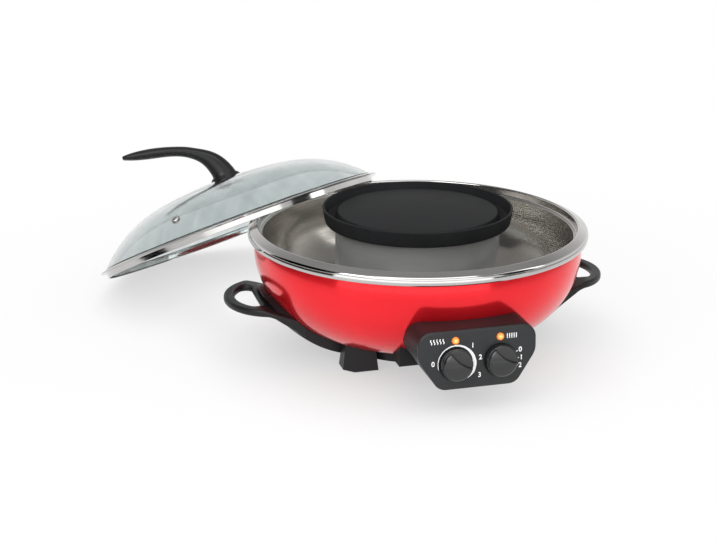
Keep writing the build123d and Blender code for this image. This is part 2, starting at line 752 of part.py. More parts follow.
handle_side = [
    (loop_root, LOOP_ROOT_TOP),
    (SHELL_RADIUS + LOOP_SHOULDER, HANDLE_TOP),
    (handle_reach, HANDLE_TOP),
    (handle_reach, HANDLE_TOP - HANDLE_THICKNESS),
    (SHELL_RADIUS - LOOP_KNEE_INSET, HANDLE_TOP - HANDLE_THICKNESS),
    (loop_root, LOOP_ROOT_FOOT),
]


def loop_arc(bar, inner):
    """Draw the outer end of the loop, `bar` inside its edge, where it lies beyond the line x = `inner`."""
    across = handle_reach - loop_centre - bar
    turn = degrees(acos((inner - loop_centre) / across))
    return EllipticalCenterArc(
        (loop_centre, 0), across, LOOP_HALF_WIDTH - bar, -turn, arc_size=2 * turn
    )


with BuildPart() as handle_loop:
    with BuildSketch():
        with BuildLine():
            end = loop_arc(0, loop_centre)
            Polyline(end @ 1, (loop_root, LOOP_HALF_WIDTH), (loop_root, -LOOP_HALF_WIDTH), end @ 0)
        make_face()
    extrude(amount=RIM_HEIGHT)
    with BuildSketch(Plane.XZ):
        with BuildLine():
            FilletPolyline(*handle_side, radius=[0, LOOP_KNEE_ROUND, 0, 0, LOOP_KNEE_ROUND, 0], close=True)
        make_face()
    extrude(amount=handle_reach, both=True, mode=Mode.INTERSECT)
    with BuildSketch() as finger_hole:
        with BuildLine():
            end = loop_arc(HANDLE_BAR, hole_inner)
            Line(end @ 1, end @ 0)
        make_face()
        fillet(finger_hole.vertices(), HOLE_ROUND)
    extrude(amount=RIM_HEIGHT, mode=Mode.SUBTRACT)
    fillet(handle_loop.edges().filter_by(GeomType.BSPLINE), HANDLE_ROUND)

with BuildPart() as right_handle:
    with BuildSketch(Plane.YZ.offset(tray_radius + WING_TRAY_GAP)):
        with BuildLine():
            arch = ThreePointArc(
                (LOOP_HALF_WIDTH, WING_SHOULDER), (0, WING_TOP), (-LOOP_HALF_WIDTH, WING_SHOULDER)
            )
            Polyline(
                arch @ 1,
                (-WING_FOOT_HALF_WIDTH, FOOT_TOP),
                (-WING_FOOT_HALF_WIDTH, 0),
                (WING_FOOT_HALF_WIDTH, 0),
                (WING_FOOT_HALF_WIDTH, FOOT_TOP),
                arch @ 0,
            )
        make_face()
    extrude(amount=SHELL_RADIUS)
    add(wing_space.part, mode=Mode.INTERSECT)
    add(handle_loop.part)
    add(bowl_space.part, mode=Mode.SUBTRACT)
    with BuildSketch(Plane.YZ):
        with Locations(*[(side, HANDLE_SCREW_HEIGHT) for side in handle_screw_sides]):
            Circle(SCREW_RADIUS)
    extrude(amount=handle_screw_seat + SCREW_LENGTH, mode=Mode.SUBTRACT)
save(right_handle, "right_handle")

with BuildPart() as left_handle:
    mirror(right_handle.part, about=Plane.YZ)
save(left_handle, "left_handle")


def screw_on(plane, head, length):
    """Add a pan-head screw to the part being built; the plane is its seat and faces its head."""
    with Locations(plane.location):
        Cylinder(head, SCREW_HEAD_HEIGHT, align=(Align.CENTER, Align.CENTER, Align.MIN))
        Cylinder(SCREW_RADIUS, length, align=(Align.CENTER, Align.CENTER, Align.MAX))


with BuildPart() as handle_screws:
    for side in handle_screw_sides:
        for outward in (-1, 1):
            seat = Plane(
                origin=(outward * handle_screw_seat, side, HANDLE_SCREW_HEIGHT), z_dir=(-outward, 0, 0)
            )
            screw_on(seat, SCREW_HEAD_RADIUS, SCREW_LENGTH)
save(handle_screws, "handle_screws")


# Base tray and feet --------------------------------------------------------------------------------------

with BuildPart() as base_tray:
    with BuildSketch(Plane.XY.offset(tray_top)):
        Circle(tray_radius)
        Circle(tray_radius - TRAY_RIM, mode=Mode.SUBTRACT)
        with PolarLocations(tray_radius / 2, TRAY_RIBS):
            Rectangle(tray_radius - TRAY_RIM, TRAY_RIB)
    extrude(amount=TRAY_BOTTOM - tray_top)
    with BuildSketch(Plane.XY.offset(tray_top)):
        Circle(TRAY_BOSS_RADIUS)
    extrude(amount=TRAY_BOSS_BOTTOM - tray_top)
    with BuildSketch(Plane.XY.offset(tray_top)):
        Circle(tray_radius)
    extrude(amount=-TRAY_PLATE)
    with BuildSketch():
        Circle(SHELL_HOLE)
        with PolarLocations(TRAY_SLOT_RADIUS, TRAY_SLOTS, HALF_TURN / TRAY_SLOTS):
            SlotOverall(TRAY_SLOT_LENGTH, TRAY_SLOT_WIDTH)
        with PolarLocations(tray_screw_radius, TRAY_SCREWS, TRAY_SCREW_TURN):
            Circle(SCREW_RADIUS + SLIP_GAP)
    extrude(amount=SHELL_FLOOR, mode=Mode.SUBTRACT)
    with BuildSketch(Plane.XY.offset(PAD_SHOW)):
        with BuildLine():
            Polyline(*foot_corners, close=True)
        make_face()
        mirror(about=Plane.YZ)
        mirror(about=Plane.XZ)
    extrude(amount=FOOT_TOP - PAD_SHOW, taper=FOOT_TAPER)
    add(bowl_space.part, mode=Mode.SUBTRACT)
    with BuildSketch(Plane.XY.offset(PAD_SHOW)):
        with Locations(*pad_centres):
            Circle(PAD_RADIUS + SLIP_GAP)
    extrude(amount=PAD_HEIGHT - PAD_SHOW, mode=Mode.SUBTRACT)
    with BuildSketch(Plane.XZ.offset(-tray_radius)):
        with Locations((0, GLAND_HEIGHT)):
            Circle(GLAND_RADIUS - GLAND_BRIM + SLIP_GAP)
    extrude(amount=2 * TRAY_RIM, mode=Mode.SUBTRACT)
save(base_tray, "base_tray")

with BuildPart() as foot_pads:
    with BuildSketch():
        with Locations(*pad_centres):
            Circle(PAD_RADIUS)
    extrude(amount=PAD_HEIGHT)
    chamfer(foot_pads.edges().group_by(Axis.Z)[0], PAD_CHAMFER)
save(foot_pads, "foot_pads")

with BuildPart() as base_screws:
    for location in PolarLocations(tray_screw_radius, TRAY_SCREWS, TRAY_SCREW_TURN):
        seat = Plane(origin=location.position + Vector(0, 0, tray_top - TRAY_PLATE), z_dir=(0, 0, -1))
        screw_on(seat, SCREW_HEAD_RADIUS, SCREW_LENGTH)
save(base_screws, "base_screws")

gland_plane = Plane(origin=(0, tray_radius, GLAND_HEIGHT), z_dir=(0, 1, 0))

with BuildPart() as cord_gland:
    with BuildSketch(gland_plane):
        Circle(GLAND_RADIUS)
    extrude(amount=GLAND_REACH)
    chamfer(cord_gland.edges().sort_by(Axis.Y)[-1], GLAND_BRIM / 2)
    with BuildSketch(gland_plane):
        Circle(GLAND_RADIUS - GLAND_BRIM)
    extrude(amount=-TRAY_RIM - GLAND_REACH)
    with BuildSketch(gland_plane):
        Circle(GLAND_BORE)
    extrude(amount=tray_radius / 2, both=True, mode=Mode.SUBTRACT)
save(cord_gland, "cord_gland")


# Control box ---------------------------------------------------------------------------------------------


def panel_outline():
    """Draw the outline that the panel and the box behind it share."""
    FilletPolyline(
        (-PANEL_TOP_WIDTH / 2, PANEL_HALF_HEIGHT),
        (-PANEL_TOP_WIDTH / 2, PANEL_WAIST),
        (-PANEL_FOOT_WIDTH / 2, -PANEL_HALF_HEIGHT),
        (PANEL_FOOT_WIDTH / 2, -PANEL_HALF_HEIGHT),
        (PANEL_TOP_WIDTH / 2, PANEL_WAIST),
        (PANEL_TOP_WIDTH / 2, PANEL_HALF_HEIGHT),
        radius=[
            PANEL_TOP_ROUND,
            PANEL_SIDE_ROUND,
            PANEL_FOOT_ROUND,
            PANEL_FOOT_ROUND,
            PANEL_SIDE_ROUND,
            PANEL_TOP_ROUND,
        ],
        close=True,
    )


with BuildPart() as control_panel:
    with BuildSketch(panel_plane):
        with BuildLine():
            panel_outline()
        make_face()
    extrude(amount=-PANEL_THICKNESS)
    face = control_panel.faces().sort_by(Axis(panel_plane.origin, panel_plane.z_dir))[-1]
    fillet(face.edges(), PANEL_EDGE)
    with BuildSketch(panel_plane):
        with Locations(*knob_spots):
            Circle(KNOB_RADIUS + KNOB_MARGIN)
    extrude(amount=-RECESS_DEPTH, mode=Mode.SUBTRACT)
    with BuildSketch(panel_plane):
        with Locations(*knob_spots):
            Circle(BUSH_RADIUS + SLIP_GAP)
        with Locations(*lamp_spots):
            Circle(LAMP_STEM_RADIUS + SLIP_GAP)
    extrude(amount=-PANEL_THICKNESS, mode=Mode.SUBTRACT)
save(control_panel, "control_panel")

front_plane = Plane(origin=(0, -panel_reach, PANEL_CENTRE), x_dir=(1, 0, 0), z_dir=(0, -1, 0))

with BuildPart() as control_housing:
    with BuildSketch(front_plane) as housing_front:
        with BuildLine():
            panel_outline()
        make_face()
    extrude(amount=-HOUSING_DEPTH)
    with Locations((0, -(neck_front + neck_back) / 2, NECK_BOTTOM)):
        Box(
            2 * NECK_HALF_WIDTH,
            neck_front - neck_back,
            PANEL_CENTRE - NECK_BOTTOM,
            align=(Align.CENTER, Align.CENTER, Align.MIN),
        )
    with BuildSketch(front_plane):
        add(housing_front.sketch_local)
        offset(amount=-HOUSING_WALL, mode=Mode.REPLACE)
    extrude(amount=-PANEL_THICKNESS - HOUSING_CAVITY, mode=Mode.SUBTRACT)
    with BuildSketch(front_plane):
        Rectangle(WINDOW_WIDTH - HOUSING_WALL, WINDOW_HEIGHT - HOUSING_WALL)
        with Locations(*[(side, 0) for side in housing_screw_sides]):
            Circle(SCREW_RADIUS)
    extrude(amount=-HOUSING_DEPTH, mode=Mode.SUBTRACT)
    split(bisect_by=panel_plane.offset(-PANEL_THICKNESS), keep=Keep.BOTTOM)
    add(bowl_space.part, mode=Mode.SUBTRACT)
save(control_housing, "control_housing")

with BuildPart() as housing_screws:
    for side in housing_screw_sides:
        screw_on(
            Plane(origin=(side, -housing_screw_seat, PANEL_CENTRE), z_dir=(0, 1, 0)),
            SCREW_HEAD_RADIUS,
            SCREW_LENGTH,
        )
save(housing_screws, "housing_screws")


def control_plane(spot, turn=0):
    """Plane on the panel's face at a knob or lamp, turned about the panel's normal."""
    return Plane(panel_plane.location * Location((*spot, 0), (0, 0, turn)))


def make_knob(spot, turn, name):
    """Save a knob: a disc with a raised grip that narrows into the pointer."""
    plane = control_plane(spot, turn)
    grip_radius = KNOB_RADIUS - KNOB_GRIP_INSET
    pointer = degrees(asin(KNOB_POINTER_WIDTH))
    with BuildPart() as knob:
        with BuildSketch(plane.offset(knob_back)):
            Circle(KNOB_RADIUS)
        extrude(amount=KNOB_BASE_HEIGHT)
        fillet(knob.edges().sort_by(Axis(plane.origin, plane.z_dir))[-1], KNOB_BASE_ROUND)
        with BuildSketch(plane.offset(knob_back)):
            with BuildLine():
                rim = CenterArc((0, 0), grip_radius, KNOB_GRIP_TURN, FULL_TURN - KNOB_GRIP_TURN + pointer)
                TangentArc(rim @ 1, rim @ 0, tangent=(-1, 0))
            make_face()
        extrude(amount=KNOB_BASE_HEIGHT + KNOB_GRIP_HEIGHT)
        fillet(knob.faces().sort_by(Axis(plane.origin, plane.z_dir))[-1].edges(), KNOB_ROUND)
        with BuildSketch(plane.offset(knob_back)):
            Circle(KNOB_RADIUS - KNOB_WALL)
        extrude(amount=KNOB_CAVITY, mode=Mode.SUBTRACT)
        with BuildSketch(plane.offset(boss_back)):
            Circle(KNOB_BOSS_RADIUS)
        extrude(amount=KNOB_BOSS_DEPTH)
        with BuildSketch(plane.offset(boss_back)):
            Circle(SHAFT_RADIUS)
        extrude(amount=SHAFT_ENGAGEMENT, mode=Mode.SUBTRACT)
    save(knob, name)


def make_control(spot, name):
    """Save the switch behind a knob: its body, its threaded bush and its tabs."""
    plane = control_plane(spot)
    with BuildPart() as control:
        with BuildSketch(plane.offset(-PANEL_THICKNESS)):
            Circle(CONTROL_RADIUS)
        extrude(amount=-CONTROL_DEPTH)
        with BuildSketch(plane.offset(-PANEL_THICKNESS - CONTROL_DEPTH)):
            with GridLocations(TAB_PITCH, 0, 2, 1):
                Rectangle(TAB_THICKNESS, TAB_WIDTH)
        extrude(amount=-TAB_LENGTH)
        with BuildSketch(plane.offset(-PANEL_THICKNESS)):
            Circle(BUSH_RADIUS)
        extrude(amount=PANEL_THICKNESS - RECESS_DEPTH + BUSH_STANDOUT)
        with BuildSketch(plane.offset(shaft_end - SHAFT_LENGTH - RUN_GAP)):
            Circle(SHAFT_RADIUS + RUN_GAP)
        extrude(amount=SHAFT_LENGTH, mode=Mode.SUBTRACT)
    save(control, name)


def make_shaft(spot, name):
    """Save the shaft that a knob sits on."""
    with BuildPart() as shaft:
        with BuildSketch(control_plane(spot).offset(shaft_end)):
            Circle(SHAFT_RADIUS)
        extrude(amount=-SHAFT_LENGTH)
    save(shaft, name)


def make_lens(spot, name):
    """Save a lamp's lens: a low dome on a stem that goes through the panel."""
    plane = control_plane(spot)
    with BuildPart() as lens:
        with BuildSketch(plane):
            Circle(LAMP_RADIUS)
        extrude(amount=LAMP_DOME)
        fillet(lens.edges().sort_by(Axis(plane.origin, plane.z_dir))[-1], LAMP_ROUND)
        with BuildSketch(plane):
            Circle(LAMP_STEM_RADIUS)
        extrude(amount=-PANEL_THICKNESS)
    save(lens, name)


make_knob(knob_spots[0], POT_KNOB_TURN, "pot_knob")
make_knob(knob_spots[1], GRILL_KNOB_TURN, "grill_knob")
make_shaft(knob_spots[0], "pot_shaft")
make_shaft(knob_spots[1], "grill_shaft")
make_control(knob_spots[0], "pot_thermostat")
make_control(knob_spots[1], "grill_thermostat")
make_lens(lamp_spots[0], "pot_lamp_lens")
make_lens(lamp_spots[1], "grill_lamp_lens")

with BuildPart() as control_nuts:
    with BuildSketch(panel_plane.offset(-RECESS_DEPTH)):
        with Locations(*knob_spots):
            RegularPolygon(NUT_ACROSS_FLATS / 2, 6, major_radius=False)
            Circle(BUSH_RADIUS, mode=Mode.SUBTRACT)
    extrude(amount=NUT_HEIGHT)
save(control_nuts, "control_nuts")

with BuildPart() as lamp_bodies:
    with BuildSketch(panel_plane.offset(-PANEL_THICKNESS)):
        with Locations(*lamp_spots):
            Circle(LAMP_BODY_RADIUS)
    extrude(amount=-LAMP_BODY_DEPTH)
save(lamp_bodies, "lamp_bodies")


# Heaters and what holds them -----------------------------------------------------------------------------


def make_heater(radius, height, opening, tail, name):
    """Save a tubular heater: an open ring with a tail turned down at each end."""
    start = opening / 2 - QUARTER_TURN
    with BuildPart() as heater:
        with BuildLine(Plane.XY.offset(height)):
            ring = CenterArc((0, 0), radius, start, FULL_TURN - opening)
        with BuildSketch(Plane(origin=ring @ 0, z_dir=ring % 0)):
            Circle(HEATER_TUBE)
        sweep(path=ring)
        with Locations(ring @ 0, ring @ 1):
            Sphere(HEATER_TUBE)
            Cylinder(HEATER_TUBE, tail, align=(Align.CENTER, Align.CENTER, Align.MAX))
    save(heater, name)


def tail_spots(radius, opening):
    """Plan positions of a heater's two tails."""
    return [
        (radius * sin(radians(turn)), -radius * cos(radians(turn))) for turn in (-opening / 2, opening / 2)
    ]


def make_brackets(radius, foot, shelf, top, name):
    """Save the upright strips that carry a heater; a dish rests on their shoulders."""
    with BuildPart() as brackets:
        for location in PolarLocations(radius, BRACKET_COUNT, BRACKET_TURN):
            with Locations(location * Location((0, 0, foot))):
                Box(
                    BRACKET_SHEET,
                    BRACKET_WIDTH + 2 * BRACKET_SHOULDER,
                    shelf - foot,
                    align=(Align.CENTER, Align.CENTER, Align.MIN),
                )
                Box(
                    BRACKET_SHEET, BRACKET_WIDTH, top - foot, align=(Align.CENTER, Align.CENTER, Align.MIN)
                )
    save(brackets, name)


def make_dish(inner, outer, height, radius, opening, name):
    """Save a reflector dish with a turned-up edge, slots for its brackets and holes for the heater tails."""
    with BuildPart() as dish:
        with BuildSketch(Plane.XZ):
            with BuildLine():
                Polyline(
                    (inner, height),
                    (outer, height),
                    (outer + REFLECTOR_LIP / 2, height + REFLECTOR_LIP),
                    (outer + REFLECTOR_LIP / 2 - REFLECTOR_SHEET, height + REFLECTOR_LIP),
                    (outer - REFLECTOR_SHEET, height + REFLECTOR_SHEET),
                    (inner, height + REFLECTOR_SHEET),
                    close=True,
                )
            make_face()
        revolve(axis=Axis.Z)
        with BuildSketch(Plane.XY.offset(height)):
            with PolarLocations(radius, BRACKET_COUNT, BRACKET_TURN):
                Rectangle(BRACKET_SHEET + 2 * SLIP_GAP, BRACKET_WIDTH + 2 * SLIP_GAP)
            with Locations(*tail_spots(radius, opening)):
                Circle(HEATER_TUBE + TAIL_CLEARANCE)
        extrude(amount=REFLECTOR_SHEET, mode=Mode.SUBTRACT)
    save(dish, name)


bracket_lean = (pot_heater_radius + BRACKET_SHEET - shell_flat_radius) / (
    SHELL_RADIUS - SHELL_SHEET - shell_flat_radius
)
bracket_foot = shell_shoulder - (shell_shoulder - inside_floor) * sqrt(1 - bracket_lean**2)
reflector_outer = shell_reach(ring_height, 0, SHELL_SHEET) - REFLECTOR_CLEARANCE

make_heater(pot_heater_radius, pot_heater_height, POT_HEATER_OPENING, POT_HEATER_TAIL, "pot_heater")
make_heater(grill_heater_radius, grill_heater_height, GRILL_HEATER_OPENING, GRILL_HEATER_TAIL, "grill_heater")
make_brackets(
    pot_heater_radius,
    bracket_foot + SEAT_GAP,
    ring_height,
    pot_heater_height - HEATER_TUBE,
    "pot_heater_brackets",
)
make_brackets(
    grill_heater_radius,
    tower_deck,
    dish_height,
    grill_heater_height - HEATER_TUBE,
    "grill_heater_brackets",
)
make_dish(
    CHIMNEY_RADIUS - REFLECTOR_LAP,
    reflector_outer,
    ring_height,
    pot_heater_radius,
    POT_HEATER_OPENING,
    "pot_reflector",
)
make_dish(
    DISH_INNER,
    tower_radius - DISH_INSET,
    dish_height,
    grill_heater_radius,
    GRILL_HEATER_OPENING,
    "grill_reflector",
)

with BuildPart() as heater_tower:
    with BuildSketch(Plane.XZ):
        with BuildLine():
            Polyline(
                (tower_radius + TOWER_FLANGE, inside_floor),
                (tower_radius + TOWER_FLANGE, inside_floor + TOWER_SHEET),
                (tower_radius, inside_floor + TOWER_SHEET),
                (tower_radius, tower_deck),
                (TOWER_HOLE, tower_deck),
                (TOWER_HOLE, tower_deck - TOWER_SHEET),
                (tower_radius - TOWER_SHEET, tower_deck - TOWER_SHEET),
                (tower_radius - TOWER_SHEET, inside_floor),
                close=True,
            )
        make_face()
    revolve(axis=Axis.Z)
    with BuildSketch(Plane.XY.offset(tower_deck)):
        with Locations(*tail_spots(grill_heater_radius, GRILL_HEATER_OPENING)):
            Circle(HEATER_TUBE + TAIL_CLEARANCE)
    extrude(amount=-TOWER_SHEET, mode=Mode.SUBTRACT)
    with BuildSketch(Plane.XY.offset(inside_floor)):
        with PolarLocations(tray_screw_radius, TRAY_SCREWS, TRAY_SCREW_TURN):
            Circle(SCREW_RADIUS)
    extrude(amount=TOWER_SHEET, mode=Mode.SUBTRACT)
    with BuildSketch(Plane.XZ):
        with Locations((0, PANEL_CENTRE)):
            Rectangle(WINDOW_WIDTH / 2, WINDOW_HEIGHT)
    extrude(amount=tower_radius, mode=Mode.SUBTRACT)
save(heater_tower, "heater_tower")

with BuildPart() as terminal_block:
    with Locations((0, -tower_radius / 2, inside_floor)):
        Box(BLOCK_LENGTH, BLOCK_WIDTH, BLOCK_HEIGHT, align=(Align.CENTER, Align.CENTER, Align.MIN))
    with BuildSketch(Plane.XY.offset(inside_floor + BLOCK_HEIGHT)):
        with Locations((0, -tower_radius / 2)):
            with GridLocations(BLOCK_LENGTH / BLOCK_WAYS, BLOCK_WIDTH / 2, BLOCK_WAYS, 2):
                Circle(BLOCK_HOLE)
    extrude(amount=-BLOCK_HEIGHT / 2, mode=Mode.SUBTRACT)
save(terminal_block, "terminal_block")
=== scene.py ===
"""Looks of an electric hot pot with a grill pan and a glass lid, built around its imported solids."""

import logging
import math
from dataclasses import dataclass
from enum import Enum
from typing import Callable, Sequence

import bmesh
import bpy
from mathutils import Matrix, Vector


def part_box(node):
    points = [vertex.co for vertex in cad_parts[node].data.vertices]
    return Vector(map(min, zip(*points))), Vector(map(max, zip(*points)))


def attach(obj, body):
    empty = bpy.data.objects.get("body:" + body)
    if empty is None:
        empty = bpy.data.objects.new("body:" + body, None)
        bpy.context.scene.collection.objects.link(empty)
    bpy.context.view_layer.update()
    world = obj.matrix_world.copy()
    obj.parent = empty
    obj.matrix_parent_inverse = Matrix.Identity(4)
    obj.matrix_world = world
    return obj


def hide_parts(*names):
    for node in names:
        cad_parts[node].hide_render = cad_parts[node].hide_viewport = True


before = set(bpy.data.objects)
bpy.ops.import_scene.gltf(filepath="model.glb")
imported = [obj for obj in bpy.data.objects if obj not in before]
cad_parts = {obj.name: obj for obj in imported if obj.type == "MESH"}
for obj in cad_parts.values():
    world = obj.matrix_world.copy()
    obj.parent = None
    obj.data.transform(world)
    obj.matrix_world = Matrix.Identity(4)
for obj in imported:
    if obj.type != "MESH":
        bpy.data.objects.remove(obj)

LOG = logging.getLogger("hot_pot")
MM = 0.001
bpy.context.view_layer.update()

Piece = bpy.types.Object
Material = bpy.types.Material
Mesh = bmesh.types.BMesh
Tree = bpy.types.NodeTree
Node = bpy.types.Node
Socket = bpy.types.NodeSocket
Feed = dict[str | int, object]
Point = tuple[float, float]
Triple = tuple[float, float, float]
Colour = tuple[float, float, float, float]

SAME_SPOT = 1e-7  # vertices nearer than this are joined, in metres
ON_AXIS = 1e-6  # radii below this are a single point, in millimetres
SHARP_TURN = 38.0  # edges that turn by more than this stay sharp, in degrees
STRAIGHT = 0.9999  # cosine of a turn too slight to round
FINE_STEPS = 288  # segments round the large turned pieces
PRINT_HEIGHT = 0.12  # of the panel's marks, in millimetres
PRINT_BOLDNESS = 0.02  # share of a numeral's size that its outline grows by
STROKE_END = 0.55  # share of a stroke's width that is left at its ends
PANEL_MIDDLE = (0.0, -220.0, 60.0)
PANEL_TILT = 5.0
KNOB_SPOTS = ((-25.0, -4.0), (25.0, -4.0))


class Body(Enum):
    """The bodies that pieces ride on."""

    BASE = "base"
    POT = "pot"
    PAN = "pan"
    LID = "lid"
    POT_CONTROL = "pot_control"
    GRILL_CONTROL = "grill_control"


# Drawing helpers --------


def rgb(red: float, green: float, blue: float) -> Colour:
    """Give a linear colour with full alpha."""
    return (red, green, blue, 1.0)


def on_panel(spot: Point = (0.0, 0.0), lift: float = 0.0) -> Matrix:
    """Give the control panel's plane, about a spot on it and lifted by some millimetres.

    Args:
        spot: the plane's middle on the panel, in millimetres.
        lift: its height, in millimetres.

    Returns:
        The plane as a matrix.
    """
    upright = Matrix.Rotation(math.radians(90 - PANEL_TILT), 4, "X")
    middle, place = Vector(PANEL_MIDDLE) * MM, Vector((*spot, lift)) * MM
    return Matrix.Translation(middle) @ upright @ Matrix.Translation(place)


def rounded(points: Sequence[Point], radii: Sequence[float], steps: int = 6) -> list[Point]:
    """Draw a polyline whose inner corners are arcs.

    Args:
        points: corners in millimetres, the two ends included.
        radii: one radius for each inner corner.
        steps: segments of each arc.

    Returns:
        The polyline's points.
    """
    path = [points[0]]
    for before, corner, after, radius in zip(points, points[1:], points[2:], radii):
        here = Vector(corner)
        back = (Vector(before) - here).normalized()
        ahead = (Vector(after) - here).normalized()
        if radius <= 0 or abs(back.dot(ahead)) > STRAIGHT:
            path.append(corner)
            continue
        half = back.angle(ahead) / 2
        centre = here + (back + ahead).normalized() * (radius / math.sin(half))
        first = here + back * (radius / math.tan(half)) - centre
        last = here + ahead * (radius / math.tan(half)) - centre
        turn = first.angle_signed(last)
        for step in range(steps + 1):
            spoke = first.copy()
            spoke.rotate(Matrix.Rotation(-turn * step / steps, 2))
            path.append(tuple(centre + spoke))
    path.append(points[-1])
    return path


def ellipse_arc(
    centre: Point, across: float, high: float, start: float, end: float, steps: int
) -> list[Point]:
    """Draw part of an ellipse.

    Args:
        centre: its middle in millimetres.
        across: half its width.
        high: half its height.
        start: first angle in degrees.
        end: last angle in degrees.
        steps: number of segments.

    Returns:
        The arc's points.
    """
    turns = [math.radians(start + (end - start) * step / steps) for step in range(steps + 1)]
    return [(centre[0] + across * math.cos(turn), centre[1] + high * math.sin(turn)) for turn in turns]


def put(name: str, data: bpy.types.ID, place: Matrix | None = None) -> Piece:
    """Add data to the scene as an object, at the origin unless it has a place.

    Args:
        name: the object's name.
        data: its mesh, light or camera.
        place: its matrix.

    Returns:
        The object.
    """
    piece = bpy.data.objects.new(name, data)
    bpy.context.scene.collection.objects.link(piece)
    if place is not None:
        piece.matrix_world = place
    return piece


def finish_mesh(name: str, mesh: Mesh, place: Matrix | None = None) -> Piece:
    """Turn a bmesh into a smooth-shaded object of the scene.

    Args:
        name: the object's name.
        mesh: the bmesh, which is freed.
        place: the object's own matrix.

    Returns:
        The new object.
    """
    bmesh.ops.remove_doubles(mesh, verts=mesh.verts, dist=SAME_SPOT)
    bmesh.ops.recalc_face_normals(mesh, faces=mesh.faces)
    limit = math.radians(SHARP_TURN)
    for face in mesh.faces:
        face.smooth = True
    for edge in mesh.edges:
        edge.smooth = not (edge.is_manifold and edge.calc_face_angle(0.0) > limit)
    data = bpy.data.meshes.new(name)
    mesh.to_mesh(data)
    mesh.free()
    return put(name, data, place)


def turned(
    name: str,
    section: Sequence[Point],
    place: Matrix | None = None,
    steps: int = FINE_STEPS,
    closed: bool = False,
    lift: Callable[[Vector], float] | None = None,
) -> Piece:
    """Turn a half section about an axis, as on a lathe.

    Args:
        name: the object's name.
        section: (radius, height) points in millimetres.
        place: where the axis stands; the object's own matrix.
        steps: segments round the axis.
        closed: whether the last point joins the first.
        lift: added height of a point, in millimetres, where the piece isn't round.

    Returns:
        The turned object.
    """
    mesh = bmesh.new()
    rings = []
    for radius, height in section:
        ring = []
        for step in range(steps if radius > ON_AXIS else 1):
            turn = math.tau * step / steps
            point = Vector((radius * math.cos(turn), radius * math.sin(turn), height))
            if lift is not None:
                point.z += lift(point)
            ring.append(mesh.verts.new(point * MM))
        rings.append(ring)
    pairs = list(zip(rings, rings[1:]))
    if closed:
        pairs.append((rings[-1], rings[0]))
    for low, high in pairs:
        for here in range(steps):
            ahead = here + 1
            sides = ((low, here), (low, ahead), (high, ahead), (high, here))
            corners = list(dict.fromkeys(ring[step % len(ring)] for ring, step in sides))
            if len(corners) > 2:
                mesh.faces.new(corners)
    return finish_mesh(name, mesh, place)


def ribbon(name: str, lines: Sequence[tuple[Sequence[Point], Sequence[float]]]) -> Piece:
    """Lay flat raised strokes on the control panel.

    Args:
        name: the object's name.
        lines: strokes, each its points and its width at each point, in millimetres.

    Returns:
        The strokes as one object.
    """
    mesh = bmesh.new()
    for points, widths in lines:
        rows = []
        for step, (here, width) in enumerate(zip(points, widths)):
            before = Vector(points[max(step - 1, 0)])
            after = Vector(points[min(step + 1, len(points) - 1)])
            aside = (after - before).normalized().orthogonal() * width / 2
            left = Vector(here) + aside
            right = Vector(here) - aside
            corners = ((left, 0.0), (left, PRINT_HEIGHT), (right, PRINT_HEIGHT), (right, 0.0))
            rows.append([mesh.verts.new(Vector((*spot, height)) * MM) for spot, height in corners])
        for low, high in zip(rows, rows[1:]):
            for side in range(4):
                mesh.faces.new((low[side], low[(side + 1) % 4], high[(side + 1) % 4], high[side]))
        mesh.faces.new(rows[0])
        mesh.faces.new(rows[-1])
    return finish_mesh(name, mesh, on_panel())


def capped(points: Sequence[Point], width: float) -> tuple[Sequence[Point], list[float]]:
    """Give a stroke one width all along, drawn in at both ends."""
    return points, [width * STROKE_END] + [width] * (len(points) - 2) + [width * STROKE_END]


def numeral(name: str, text: str, spot: Point, size: float) -> Piece:
    """Set a raised numeral on the control panel.

    Args:
        name: the object's name.
        text: the numeral.
        spot: its middle on the panel, in millimetres.
        size: its type size in millimetres.

    Returns:
        The numeral as a mesh.
    """
    curve = bpy.data.curves.new(name, "FONT")
    curve.body = text
    curve.size = size * MM
    curve.extrude = PRINT_HEIGHT / 2 * MM
    curve.offset = PRINT_BOLDNESS * size * MM
    curve.align_x = curve.align_y = "CENTER"
    curve.resolution_u = 6
    shape = bpy.data.objects.new(name, curve)
    mesh = bpy.data.meshes.new_from_object(shape)
    bpy.data.objects.remove(shape)
    bpy.data.curves.remove(curve)
    return put(name, mesh, on_panel(spot, PRINT_HEIGHT / 2))


# Node helpers --------

MASK_SPAN = (0.3, 0.7)  # where nearly all values of a noise lie
STREAK_LEAN = 0.35  # of the streaks from the Y axis, per unit along X


def feed(tree: Tree, node: Node, inputs: Feed) -> None:
    """Link a node's inputs to sockets, or set them to values.

    Args:
        tree: the node's tree.
        node: the node.
        inputs: a socket or a value for each input, by its name or number.
    """
    for label, value in inputs.items():
        if isinstance(value, Socket):
            tree.links.new(value, node.inputs[label])
        else:
            node.inputs[label].default_value = value


def add_node(tree: Tree, kind: str, inputs: Feed | None = None, **settings: object) -> Node:
    """Add a shader node to a tree.

    Args:
        tree: the node tree.
        kind: the node's type name, without the prefix that all shader nodes have.
        inputs: a socket or a value for each input, by its name or number.
        settings: properties of the node.

    Returns:
        The node.
    """
    node = tree.nodes.new(f"ShaderNode{kind}")
    for label, value in settings.items():
        setattr(node, label, value)
    feed(tree, node, inputs or {})
    return node


def combine(tree: Tree, operation: str, *values: Socket | float) -> Socket:
    """Combine values by an operation and give the result."""
    return add_node(tree, "Math", dict(enumerate(values)), operation=operation).outputs[0]


def largest(tree: Tree, first: Socket, *others: Socket) -> Socket:
    """Give the largest of several values.

    Args:
        tree: the node tree.
        first: a value.
        others: further values.

    Returns:
        The largest value.
    """
    for other in others:
        first = combine(tree, "MAXIMUM", first, other)
    return first


